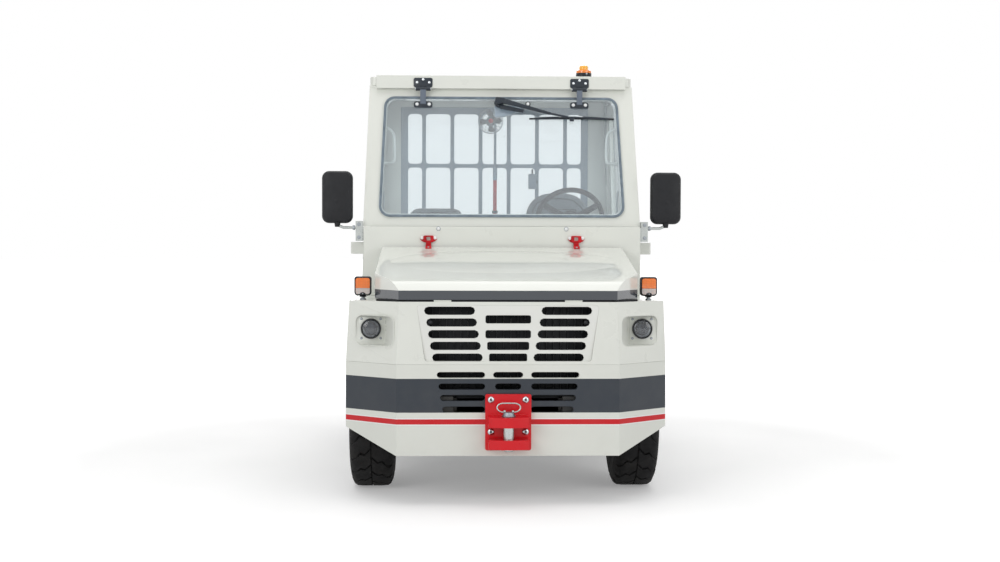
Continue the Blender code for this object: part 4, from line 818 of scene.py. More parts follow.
def fascia_s(x, z):
    """How far behind the bumper's face the slanting corner of the fascia is at this place."""
    part = (z - 0.648) / 0.285
    foot = x / (1 - 0.0254 * part)
    s = max(0.0, (foot - 0.51) * 0.83)
    return s + part * (0.014 - 0.31 * s)


def dome(place, radius, height, axis=(0, -1, 0), steps=20):
    arc = [(radius * math.cos(a), height * math.sin(a)) for a in [math.pi / 2 * k / 5 for k in range(6)]]
    return turned([(0, -0.002), (radius, -0.002)] + arc[:-1] + [(0, height)], place, axis, steps)


def headlight(side, sign):
    piece = Piece(f"headlight_{side}_unit", "chassis", "lamp_clear", sign)
    mouth = rounded(rectangle((0.5206, 0.7014), (0.7266, 0.8664)), 0.030, 6)
    floor, rings = 0.150, []
    for inset, depth in ((0.0, -0.002), (0.0, 0.002), (0.0025, 0.006), (0.003, None)):
        ring = []
        for x, z in mouth:
            x0 = x + inset * (1 if x < 0.61 else -1)
            z0 = z + inset * (1 if z < 0.80 else -1)
            s = floor if depth is None else fascia_s(x, z) + depth
            if depth is None:
                x0 += 0.042 * max(0.0, (0.60 - x) / 0.08)
            ring.append((x0, min(s, floor), z0))
        rings.append(ring)
    n = len(mouth)
    points = [point for ring in rings for point in ring]
    faces = [[k * n + i, k * n + (i + 1) % n, (k + 1) * n + (i + 1) % n, (k + 1) * n + i]
             for k in range(3) for i in range(n)] + [list(range(3 * n, 4 * n))]
    shell = solid(points, faces)
    bmesh.ops.solidify(shell, geom=shell.faces[:], thickness=-0.0015)
    piece.add("body_white", shell)
    x, z = 0.631, 0.803
    piece.add("body_white", slab(rounded(rectangle((x - 0.058, x + 0.058), (z - 0.058, z + 0.056)), 0.012), floor - 0.004,
                                 floor, "front", 0.001))
    for dx in (-0.0445, 0.0445):
        for dz in (-0.045, 0.045):
            piece.add("zinc", dome((x + dx, floor - 0.004, z + dz), 0.0062, 0.003),
                      hexagon((x + dx, floor - 0.0072, z + dz), (0, 1, 0), 0.003, 0.001))
    out = (0, -1, 0)
    piece.add("lamp_dark", turned([(0.0, 0.0), (0.047, 0.0), (0.0475, 0.014), (0.046, 0.0185), (0.0425, 0.0195),
                                   (0.0395, 0.017), (0.039, 0.002), (0.0, 0.0015)], (x, floor - 0.004, z), out, 64))
    piece.add("reflector", turned([(0.0, 0.003), (0.024, 0.003), (0.0305, 0.006), (0.0355, 0.0105), (0.0388, 0.0150), (0.0388, 0.002),
                                (0.0, 0.002)], (x, floor - 0.004, z), out, 64))
    piece.add("seal", turned([(0.0, 0.004), (0.0300, 0.004), (0.0300, 0.0085), (0.0275, 0.010), (0.0, 0.010)],
                             (x, floor - 0.004, z), out, 48))
    piece.add("lamp_lens", turned([(0.0, 0.0175), (0.010, 0.0168), (0.019, 0.0145), (0.0245, 0.011), (0.0265, 0.008),
                                   (0.0, 0.007)], (x, floor - 0.004, z), out, 48))
    piece.add("lamp_glass", turned([(0.0, 0.0225), (0.018, 0.0215), (0.032, 0.0190), (0.0392, 0.0160), (0.0392, 0.0145),
                                    (0.032, 0.0175), (0.018, 0.0200), (0.0, 0.0210)], (x, floor - 0.004, z), out, 48))
    piece.done(f"headlight_{side}")


def turn_lamp(side, sign):
    low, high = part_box(f"turn_lamp_{side}")
    piece = Piece(f"turn_lamp_{side}_unit", "chassis", "amber", sign)
    x, s, top = 0.673, 0.215, high.z
    bottom = top - 0.090
    shell = rounded(rectangle((x - 0.040, x + 0.040), (bottom, top)), [0.016, 0.016, 0.012, 0.012], 6)
    piece.add("lamp_dark", slab(shell, s + 0.010, s + 0.046, "front", 0.005, 3))
    inner = rounded(rectangle((x - 0.0335, x + 0.0335), (bottom + 0.0065, top - 0.0065)), 0.010, 6)
    grown = [(x + (u - x) * 1.13, (top + bottom) / 2 + (v - (top + bottom) / 2) * 1.08) for u, v in inner]
    piece.add("lamp_dark", hoop(grown, inner, s + 0.003, s + 0.014, "front", 0.001))
    split = bottom + 0.036
    piece.add("amber", slab(rounded(rectangle((x - 0.033, x + 0.033), (split, top - 0.007)), [0.001, 0.001, 0.010, 0.010], 5),
                            s + 0.0005, s + 0.014, "front", 0.003, 3))
    piece.add("clear", slab(rounded(rectangle((x - 0.033, x + 0.033), (bottom + 0.007, split - 0.0005)),
                                    [0.010, 0.010, 0.001, 0.001], 5), s + 0.0012, s + 0.014, "front", 0.003, 3))
    bump = [(x + 0.015 * math.cos(a), bottom + 0.004 + 0.013 * math.sin(a)) for a in
            [math.pi * k / 10 for k in range(11)]]
    piece.add("lamp_dark", slab(bump, s, s + 0.012, "front", 0.0015))
    piece.add("zinc", dome((x, s + 0.0005, bottom + 0.0095), 0.0032, 0.0014))
    piece.add("lamp_dark", turned([(0, 0), (0.017, 0), (0.014, 0.006), (0.010, 0.010), (0, 0.010)], (x, s + 0.026, bottom - 0.006),
                                  (0, 0, 1), 24))
    piece.add("zinc", rod((x, s + 0.026, low.z), (x, s + 0.026, bottom + 0.004), 0.0085), hexagon(
        (x, s + 0.026, low.z), (0, 0, 1), 0.0145, 0.006))
    piece.done(f"turn_lamp_{side}")


def tail_lamp(side, sign):
    low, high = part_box(f"tail_lamp_{side}")
    x0, x1 = sorted((abs(low.x), abs(high.x)))
    front, back = low.y - FRONT, high.y - FRONT
    piece = Piece(f"tail_lamp_{side}_unit", "chassis", "lamp_red", sign)
    outline = rounded(rectangle((x0, x1), (low.z, high.z)), 0.010, 5)
    piece.add("lamp_dark", slab(outline, front, back - 0.010, "front", 0.003, 3))
    third = (high.z - low.z - 0.012) / 3
    for k, look in enumerate(("clear", "amber", "red_lens")):
        z = low.z + 0.006 + k * third
        piece.add(look, slab(rounded(rectangle((x0 + 0.006, x1 - 0.006), (z + 0.0006, z + third - 0.0006)), 0.003, 3),
                             back - 0.014, back, "front", 0.003, 3))
    piece.done(f"tail_lamp_{side}")


for side, sign in BOTH:
    headlight(side, sign)
    turn_lamp(side, sign)
    tail_lamp(side, sign)

low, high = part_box("beacon")
middle = ((low.x + high.x) / 2, (low.y + high.y) / 2 - FRONT, low.z)
beacon = Piece("beacon_unit", "chassis", "amber")
beacon.add("lamp_dark", turned([(0, 0), (0.0415, 0), (0.042, 0.003), (0.0415, 0.050), (0.040, 0.054), (0, 0.054)], middle,
                               steps=48))
beacon.add("beacon_base", turned([(0, 0.053), (0.0405, 0.053), (0.041, 0.056), (0.040, 0.066), (0.034, 0.069), (0.026, 0.071),
                                  (0, 0.071)], middle, steps=48))
beacon.add("beacon", turned([(0, 0.070), (0.0235, 0.070), (0.0245, 0.073), (0.0240, 0.086), (0.021, 0.092), (0.013, 0.0943),
                             (0, 0.095)], middle, steps=48))
beacon.add("zinc", dome((middle[0] + 0.012, middle[1] - 0.0405, middle[2] + 0.047), 0.005, 0.0025))
beacon.done("beacon")


# Windscreen, its hinges and its wiper

GLASS_LOW, GLASS_HIGH = (0.6214, 1.3262), (0.5968, 1.9438)
GLASS_ROUND = 0.055
RAKE = (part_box("windscreen")[1].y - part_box("windscreen")[0].y - 0.008) / 0.618
GLASS_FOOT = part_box("windscreen")[0].y - FRONT


def glass_s(z, out=0.0):
    """The windscreen's outer face at this height, and out metres in front of it."""
    return GLASS_FOOT + (z - 1.326) * RAKE - out


def raked(bm, out=0.0):
    """Lays a shape that was drawn upright at s = 0 against the windscreen."""
    for vertex in bm.verts:
        vertex.co.y += glass_s(vertex.co.z, out)
    return bm


def glass_outline(inset):
    return rounded([(-GLASS_LOW[0] + inset, GLASS_LOW[1] + inset), (GLASS_LOW[0] - inset, GLASS_LOW[1] + inset),
                    (GLASS_HIGH[0] - inset, GLASS_HIGH[1] - inset), (-GLASS_HIGH[0] + inset, GLASS_HIGH[1] - inset)],
                   GLASS_ROUND - inset, 10)


surround = Piece("windscreen_rubber", "chassis", "black_plastic")
surround.add("glazing", raked(hoop(glass_outline(0.0002), glass_outline(0.010), -0.0025, 0.0, "front", 0.001)))
surround.add("glazing", raked(hoop(glass_outline(0.010), glass_outline(0.0125), -0.0012, 0.0, "front", 0.0004)))
surround.done()


def windscreen_hinge(side, sign):
    piece = Piece(f"windscreen_hinge_{side}", "chassis", "black_plastic", sign)
    x, face = 0.400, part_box("roof")[0].y - FRONT
    plate = rounded(rectangle((x - 0.048, x + 0.048), (1.989, 2.037)), 0.009, 4)
    piece.add("black_paint", slab(plate, face - 0.0045, face - 0.0003, "front", 0.0012))
    for dx, z in ((0, 2.0285), (-0.031, 2.0135), (0.031, 2.0135)):
        piece.add("chrome", dome((x + dx, face - 0.0045, z), 0.0075, 0.0042))
    for sign_x in (-1, 1):
        x0, x1 = sorted((x + sign_x * 0.016, x + sign_x * 0.038))
        piece.add("black_paint", rod((x0, face - 0.009, 1.981), (x1, face - 0.009, 1.981), 0.0105))
        piece.add("black_paint", block((x0, x1), (face - 0.012, face - 0.0005), (1.979, 1.994)))
        piece.add("chrome", dome((x + sign_x * 0.038, face - 0.009, 1.981), 0.0065, 0.004, (sign_x, 0, 0)))
    piece.add("black_paint", rod((x - 0.0155, face - 0.009, 1.981), (x + 0.0155, face - 0.009, 1.981), 0.0095))
    z_end = 1.905
    end = glass_s(z_end, 0.0055)
    arm = [(face - 0.0125, 1.989), (face - 0.0175, 1.975), (end - 0.002, z_end - 0.008), (end + 0.003, z_end - 0.008),
           (face - 0.0120, 1.973)]
    piece.add("hinge_arm", slab(arm, x - 0.0145, x + 0.0145, "side", 0.001))
    pad = raked(slab(rounded(rectangle((x - 0.048, x + 0.048), (1.8855, 1.9175)), [0.009, 0.009, 0.013, 0.013], 4),
                     -0.0055, -0.0004, "front", 0.0018))
    piece.add("black_paint", pad)
    piece.add("black_paint", raked(block((x - 0.017, x + 0.017), (-0.009, -0.004), (1.887, 1.912))))
    for dx in (-0.031, 0.031):
        piece.add("cap_white", dome((x + dx, glass_s(1.9035, 0.0055), 1.9035), 0.0088, 0.0048, (0, -1, 0.25)))
    piece.done()


def wiper():
    piece = Piece("wiper_unit", "chassis", "black_plastic")
    x, z = -0.012, 1.911
    out = Vector((0, -1, RAKE)).normalized()
    foot = Vector((x, glass_s(z, 0.0006), z))
    piece.add("black_paint", turned([(0, 0), (0.024, 0), (0.0245, 0.006), (0.021, 0.012), (0.0165, 0.014), (0.0165, 0.030),
                                     (0.018, 0.033), (0.018, 0.044), (0.015, 0.048), (0, 0.0495)], foot, out, 40))
    piece.add("black_paint", moved(slab(rounded([(-0.020, 0.020), (-0.022, -0.010), (0.034, -0.014), (0.030, 0.014)], 0.009, 4),
                                        -0.007, 0.007, "front", 0.004), foot + out * 0.040))
    elbow, tip = (0.250, 1.8555), (0.352, 1.8360)
    near = foot + out * 0.040 + Vector((0.022, 0, -0.001))
    middle = Vector((elbow[0], glass_s(elbow[1], 0.034), elbow[1]))
    last = Vector((tip[0], glass_s(tip[1], 0.026), tip[1]))

    def bar(start, end, high_start, high_end, thick):
        along = (end - start).normalized()
        up = out.cross(along).normalized()
        up = up if up.z > 0 else -up
        points = [start + up * high_start + out * thick, start - up * high_start + out * thick, end - up * high_end + out * thick,
                  end + up * high_end + out * thick, start + up * high_start - out * thick,
                  start - up * high_start - out * thick, end - up * high_end - out * thick, end + up * high_end - out * thick]
        return eased(solid(points, [[0, 1, 2, 3], [7, 6, 5, 4], [0, 4, 5, 1], [1, 5, 6, 2], [2, 6, 7, 3], [3, 7, 4, 0]]),
                     0.0012)

    piece.add("black_paint", bar(near, middle, 0.0125, 0.0055, 0.0055), bar(middle, last, 0.0052, 0.0040, 0.0035))
    link = Vector((0.004, 0, -0.027))
    piece.add("black_paint", bar(foot + out * 0.030 + link, Vector((0.112, glass_s(1.868, 0.030), 1.868)), 0.0115, 0.0085,
                                 0.004))
    left, right, level = 0.142, 0.576, 1.8315
    centre = (left + right) / 2

    def on_blade(at, rise, lift):
        return Vector((at, glass_s(level + rise, lift), level + rise))

    piece.add("seal", tube([on_blade(left + (right - left) * k / 24, -0.001 + 0.002 * math.sin(math.pi * k / 24), 0.006)
                            for k in range(25)], 0.0042, 8, flat=0.7))
    piece.add("black_paint", tube(smooth_path([on_blade(at, rise, lift) for at, rise, lift in
                                               ((left + 0.05, 0.002, 0.012), (left + 0.13, 0.005, 0.020),
                                                (centre, 0.006, 0.024), (right - 0.13, 0.006, 0.020),
                                                (right - 0.05, 0.002, 0.012))]), 0.0052, 10, flat=0.6))
    for at in (left + 0.055, left + 0.125, right - 0.125, right - 0.055):
        piece.add("black_paint", moved(block((-0.030, 0.030), (-0.004, 0.004), (-0.0045, 0.0045), 0.002),
                                       on_blade(at, 0.0008, 0.010)))
    piece.add("black_paint", moved(block((-0.011, 0.011), (-0.011, 0.009), (-0.014, 0.010), 0.003), on_blade(centre, 0, 0.020)))
    piece.add("chrome", moved(rod((-0.018, 0, 0), (0.018, 0, 0), 0.0024), on_blade(centre - 0.050, 0.0095, 0.024)),
              moved(rod((-0.018, 0, 0), (0.018, 0, 0), 0.0024), on_blade(centre + 0.036, 0.0095, 0.024)))
    piece.done("wiper")
    knob = Piece("windscreen_catch", "chassis", "black_plastic")
    place = Vector((0.136, glass_s(1.907, 0.0003), 1.907))
    knob.add("seal", turned([(0, 0), (0.0135, 0), (0.0135, 0.003), (0.0115, 0.0042), (0, 0.0042)], place, out, 32))
    knob.add("cap_white", turned([(0, 0.004), (0.0085, 0.004), (0.0078, 0.0070), (0.004, 0.0085), (0, 0.009)], place, out, 32))
    knob.done()


for side, sign in BOTH:
    windscreen_hinge(side, sign)
wiper()


# Mirrors, latches and bolts on the nose

def mirror(side, sign):
    low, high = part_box(f"mirror_{side}")
    x0, x1 = sorted((abs(low.x), abs(high.x)))
    front, back = low.y - FRONT, high.y - FRONT
    piece = Piece(f"mirror_{side}_head", "chassis", "black_plastic", sign)
    outline = rounded(rectangle((x0 + 0.0005, x1 - 0.0005), (low.z + 0.0005, high.z - 0.0005)), 0.036, 8)
    cx, cz = (x0 + x1) / 2, (low.z + high.z) / 2
    rings = []
    for part, depth in ((0.985, back - 0.001), (1.0, back - 0.006), (1.0, back - 0.022), (0.965, front + 0.016),
                        (0.89, front + 0.008), (0.72, front + 0.0035), (0.4, front + 0.0012)):
        rings.append([(cx + (x - cx) * part, depth, cz + (z - cz) * (1 - (1 - part) * 0.6)) for x, z in outline])
    n = len(outline)
    points = [point for ring in rings for point in ring] + [(cx, front + 0.0006, cz)]
    faces = [list(range(n))] + [[k * n + i, k * n + (i + 1) % n, (k + 1) * n + (i + 1) % n, (k + 1) * n + i]
                                for k in range(len(rings) - 1) for i in range(n)]
    faces += [[(len(rings) - 1) * n + i, (len(rings) - 1) * n + (i + 1) % n, len(rings) * n] for i in range(n)]
    piece.add("black_plastic", solid(points, faces))
    inner = [(cx + (x - cx) * 0.90, cz + (z - cz) * 0.94) for x, z in outline]
    piece.add("mirror", slab(inner, back - 0.002, back - 0.0002, "front", 0.0006))
    piece.add("black_plastic", turned([(0, 0), (0.016, 0), (0.015, 0.006), (0.011, 0.0085), (0, 0.009)],
                                      (cx + 0.004, front + 0.009, 1.404), (0, -1, 0), 32))
    piece.add("black_plastic", rod((cx, (front + back) / 2, low.z - 0.018), (cx, (front + back) / 2, low.z + 0.006), 0.0125,
                                   0.016))
    piece.done(f"mirror_{side}")
    bolts = Piece(f"mirror_bracket_bolts_{side}", "chassis", "steel", sign)
    for z in (1.223, 1.288):
        bolts.add("zinc", turned([(0, 0), (0.0095, 0), (0.0095, 0.0015), (0, 0.0015)], (0.7175, 0.7149, z), (0, -1, 0), 24),
                  hexagon((0.7175, 0.7135, z), (0, -1, 0), 0.0065, 0.0045))
    bolts.add("zinc", turned([(0, 0), (0.0115, 0), (0.0120, 0.006), (0.0105, 0.012), (0, 0.013)], (0.7375, 0.735, 1.272), (1, 0, 0),
                             24))
    bolts.done()


def latch(side, sign):
    """A moulded rubber T latch on the cowl, and its catch on the bonnet."""
    x, face = 0.370, 0.7000
    piece = Piece(f"bonnet_latch_{side}", "chassis", "hitch_red", sign)
    piece.add("latch_red", hoop(rounded(rectangle((x - 0.0255, x + 0.0255), (1.199, 1.2335)), 0.007, 5),
                                rounded(rectangle((x - 0.010, x + 0.010), (1.2090, 1.2265)), 0.004, 5),
                                face - 0.014, face - 0.0003, "front", 0.0022))
    piece.add("latch_red", slab(rounded(rectangle((x - 0.0135, x + 0.0135), (1.183, 1.206)), 0.003, 4), face - 0.012,
                                face - 0.0035, "front", 0.002))
    piece.add("latch_red", hoop(rounded(rectangle((x - 0.0135, x + 0.0135), (1.1785, 1.197)), 0.004, 5),
                                rounded(rectangle((x - 0.0065, x + 0.0065), (1.184, 1.1915)), 0.003, 5),
                                face - 0.014, face - 0.005, "front", 0.0016))
    for way in (-1, 1):
        wing = [(x + way * 0.018, 1.229), (x + way * 0.040, 1.226), (x + way * 0.0415, 1.214), (x + way * 0.030, 1.2035),
                (x + way * 0.018, 1.200)]
        piece.add("latch_red", slab(rounded(wing[::way], 0.0025, 3), face - 0.006, face - 0.0003, "front", 0.0012))
        piece.add("cap_white", dome((x + way * 0.0325, face - 0.0075, 1.2215), 0.0086, 0.0055))
    piece.done()
    catch = Piece(f"bonnet_catch_{side}", "bonnet", "hitch_red", sign)
    catch.add("latch_red", slab(rounded([(0.640, 1.1655), (0.684, 1.1762), (0.684, 1.1835), (0.668, 1.1835)], 0.002, 3),
                                x - 0.015, x + 0.015, "side", 0.0015))
    catch.add("zinc", dome((x, 0.657, 1.1765), 0.005, 0.003, (0, -0.24, 1)))
    catch.done()
    bolt = Piece(f"cowl_bolt_{side}", "chassis", "steel", sign)
    tab = [(0.302, 1.276), (0.304, 1.262), (0.312, 1.256), (0.328, 1.256), (0.336, 1.262), (0.338, 1.276)]
    bolt.add("body_white", slab(rounded(tab, 0.003, 3), 0.6982, 0.6998, "front", 0.0006))
    bolt.add("zinc", turned([(0, 0), (0.011, 0), (0.011, 0.0015), (0, 0.0015)], (0.32, 0.6983, 1.2675), (0, -1, 0), 32))
    bolt.add("cap_white", dome((0.32, 0.6968, 1.2675), 0.0085, 0.006))
    bolt.done()


for side, sign in BOTH:
    mirror(side, sign)
    latch(side, sign)

crown = Piece("bonnet_crown", "bonnet", "body_white")
LENGTHS, TURNS = (0.0, 0.35, 0.6, 0.8, 0.92, 0.98, 1.0), 96
crown_points, crown_faces = [], []
for part in LENGTHS:
    for k in range(TURNS):
        a = 2 * math.pi * k / TURNS
        x, s = 0.560 * part * math.copysign(abs(math.cos(a)) ** 0.85, math.cos(a)), 0.405 + 0.205 * part * math.sin(a)
        rise = 0.0085 * (1 - part ** 4) - 0.0002
        crown_points.append((x, s, 1.042 + (s - 0.13) * 0.24144 + rise))
for k in range(len(LENGTHS) - 1):
    for i in range(TURNS):
        j = (i + 1) % TURNS
        crown_faces.append([k * TURNS + i, k * TURNS + j, (k + 1) * TURNS + j, (k + 1) * TURNS + i])
crown_shape = solid(crown_points, crown_faces[TURNS:] + [list(range(TURNS, 2 * TURNS))])
bmesh.ops.delete(crown_shape, geom=[v for v in crown_shape.verts if not v.link_faces], context="VERTS")
crown.add("bonnet", crown_shape)
crown.done(smooth=60)

seal = Piece("bonnet_seal", "chassis", "black_plastic")
edge = [(-0.604, 0.112), (-0.498, 0.026), (-0.300, 0.0185), (0.300, 0.0185), (0.498, 0.026), (0.604, 0.112)]
seal.add("seal", tube([(x, s + 0.012, 0.9365) for x, s in edge], 0.0040, 10))
seal.add("seal", tube([(x, s + 0.022, 0.9385) for x, s in edge], 0.0040, 10))
seal.done()

# Black sheets and dark fins behind and under the grille's slots keep the slots dark: dark sheets standing in for the
# shade in the nose.
shade_backing = Piece("grille_shroud", "chassis", "black_plastic")
shade_backing.add("seal", block((-0.47, 0.47), (0.108, 0.112), (0.505, 0.925), 0.001))
shade_backing.add("seal", block((-0.235, 0.235), (0.060, 0.064), (0.405, 0.505), 0.001))
for way in (-1, 1):
    x0, x1 = sorted((way * 0.320, way * 0.47))
    shade_backing.add("seal", block((x0, x1), (0.060, 0.064), (0.405, 0.505), 0.001))
shade_backing.add("seal", block((-0.47, 0.47), (0.034, 0.110), (0.501, 0.505), 0.001))
for x0, x1 in ((-0.47, -0.315), (-0.245, 0.245), (0.315, 0.47)):
    shade_backing.add("seal", block((x0, x1), (0.031, 0.064), (0.398, 0.402), 0.001))
for k in range(28):
    x = -0.445 + 0.033 * k
    shade_backing.add("lamp_dark", block((x - 0.0015, x + 0.0015), (0.098, 0.108), (0.52, 0.92), 0.0005))
shade_backing.done()

screws = Piece("grille_bolts", "chassis", "steel")
for way in (-1, 1):
    screws.add("lamp_dark", dome((way * 0.360, 0.034, 0.839), 0.0135, 0.007))
    screws.add("black_plastic", hexagon((way * 0.360, 0.0285, 0.839), (0, -1, 0), 0.005, 0.001))
screws.done()


# Hitches

def hitch(end, at, way):
    """Bolts, welds and the pin. at is the plate's face and way is the direction that the jaws point."""
    bolts = Piece(f"{end}_hitch_bolts", "chassis", "steel")
    face = at + way * 0.0155
    for x in (-0.079, 0.079):
        for z in (0.489, 0.343):
            bolts.add("zinc", turned([(0, 0), (0.0185, 0), (0.0185, 0.0022), (0, 0.0022)], (x, face, z), (0, way, 0), 32))
            bolts.add("chrome", turned([(0, 0.0075), (0.0062, 0.0075), (0.0066, 0.0140), (0.0100, 0.0135), (0.0140, 0.0105),
                                        (0.0160, 0.0055), (0.0162, 0.0020), (0, 0.0020)], (x, face, z), (0, way, 0), 40))
            bolts.add("cast", hexagon((x, face + way * 0.0072, z), (0, way, 0), 0.0060, 0.0010))
    for z, out in ((0.4165, 1), (0.3695, -1), (0.3145, 1), (0.2705, -1)):
        path = [(x / 100, face + way * 0.001, z + out * 0.001 + 0.0007 * math.sin(x * 2.9)) for x in range(-9, 10)]
        bolts.add("hitch_red", tube(smooth_path(path, 3), 0.0055, 10))
    bolts.done()
    pin = Piece(f"{end}_hitch_pin_ringed", f"{end}_hitch_pin", "steel")
    low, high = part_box(f"{end}_hitch_pin")
    s = (low.y + high.y) / 2 - FRONT
    pin.add("steel", turned([(0, 0), (0.019, 0), (0.0238, 0.006), (0.0238, 0.158), (0, 0.158)], (0, s, low.z), steps=48))
    pin.add("zinc", turned([(0, 0), (0.0315, 0), (0.0320, 0.001), (0.0320, 0.0055), (0.0312, 0.0065), (0, 0.0065)],
                           (0, s, 0.4163), steps=48))
    pin.add("zinc", turned([(0, 0), (0.0285, 0), (0.0290, 0.002), (0.0225, 0.0150), (0.0200, 0.0165), (0, 0.0165)],
                           (0, s, 0.4222), steps=48))
    pin.add("steel", ball((-0.019, s, 0.4415), 0.0062), ball((0.019, s, 0.4415), 0.0062))
    wire = 0.0034
    ring = [(-0.019, 0.4385), (-0.034, 0.4385), (-0.0475, 0.4465), (-0.0530, 0.4580), (-0.0480, 0.4700), (-0.0340, 0.4768),
            (-0.012, 0.4782), (0.012, 0.4782), (0.0340, 0.4768), (0.0480, 0.4700), (0.0530, 0.4580), (0.0475, 0.4465),
            (0.034, 0.4385), (0.019, 0.4385)]
    pin.add("steel", tube(smooth_path([(x, s, z) for x, z in ring], 5), wire, 14))
    pin.done(f"{end}_hitch_pin")


hitch("front", 0.0, -1)
hitch("rear", 2.8600, 1)


# Cab: steering wheel, dashboard and fittings

WHEEL_CENTRE = Vector((0.372, 1.10, 1.325))
TILT = math.radians(30)
WHEEL_TURN = Matrix(((1, 0, 0), (0, math.sin(TILT), math.cos(TILT)), (0, -math.cos(TILT), math.sin(TILT)))).to_4x4()


def on_column(bm):
    """Moves a shape from the steering wheel's own place, where its axis is Z, onto the column."""
    bm.transform(Matrix.Translation(WHEEL_CENTRE) @ WHEEL_TURN)
    return bm


def steering_wheel():
    piece = Piece("steering_wheel_rim", "steering_wheel", "black_plastic")
    circle_path = [(0.1695 * math.cos(2 * math.pi * k / 96), 0.1695 * math.sin(2 * math.pi * k / 96), 0) for k in range(96)]
    piece.add("black_plastic", on_column(tube(circle_path, 0.0132, 16, True)))
    for k in range(24):
        a = 2 * math.pi * k / 24
        if 20 < math.degrees(a) % 90 < 70:
            path = [((0.1695 + 0.0134 * math.cos(t)) * math.cos(a), (0.1695 + 0.0134 * math.cos(t)) * math.sin(a),
                     -0.0134 * abs(math.sin(t))) for t in [math.pi * q / 8 for q in range(9)]]
            piece.add("seat_vinyl", on_column(tube(path, 0.0012, 6)))
    for degrees in (90, 210, 330):
        a = math.radians(degrees)
        path = [(r * math.cos(a), r * math.sin(a), z) for r, z in ((0.025, -0.010), (0.070, -0.013), (0.120, -0.010), (0.160, -0.002))]
        piece.add("black_plastic", on_column(tube(smooth_path(path), 0.0175, 14, flat=0.36,
                                                  up=(-math.sin(a), math.cos(a), 0))))
    piece.add("black_plastic", on_column(turned([(0, -0.0445), (0.033, -0.0445), (0.034, -0.030), (0.046, -0.020), (0.050, -0.006),
                                                 (0.046, 0.003), (0.030, 0.0058), (0, 0.006)], steps=48)))
    piece.add("dash_plastic", on_column(turned([(0, 0.0050), (0.028, 0.0050), (0.027, 0.0072), (0, 0.0080)], steps=48)))
    piece.done("steering_wheel")


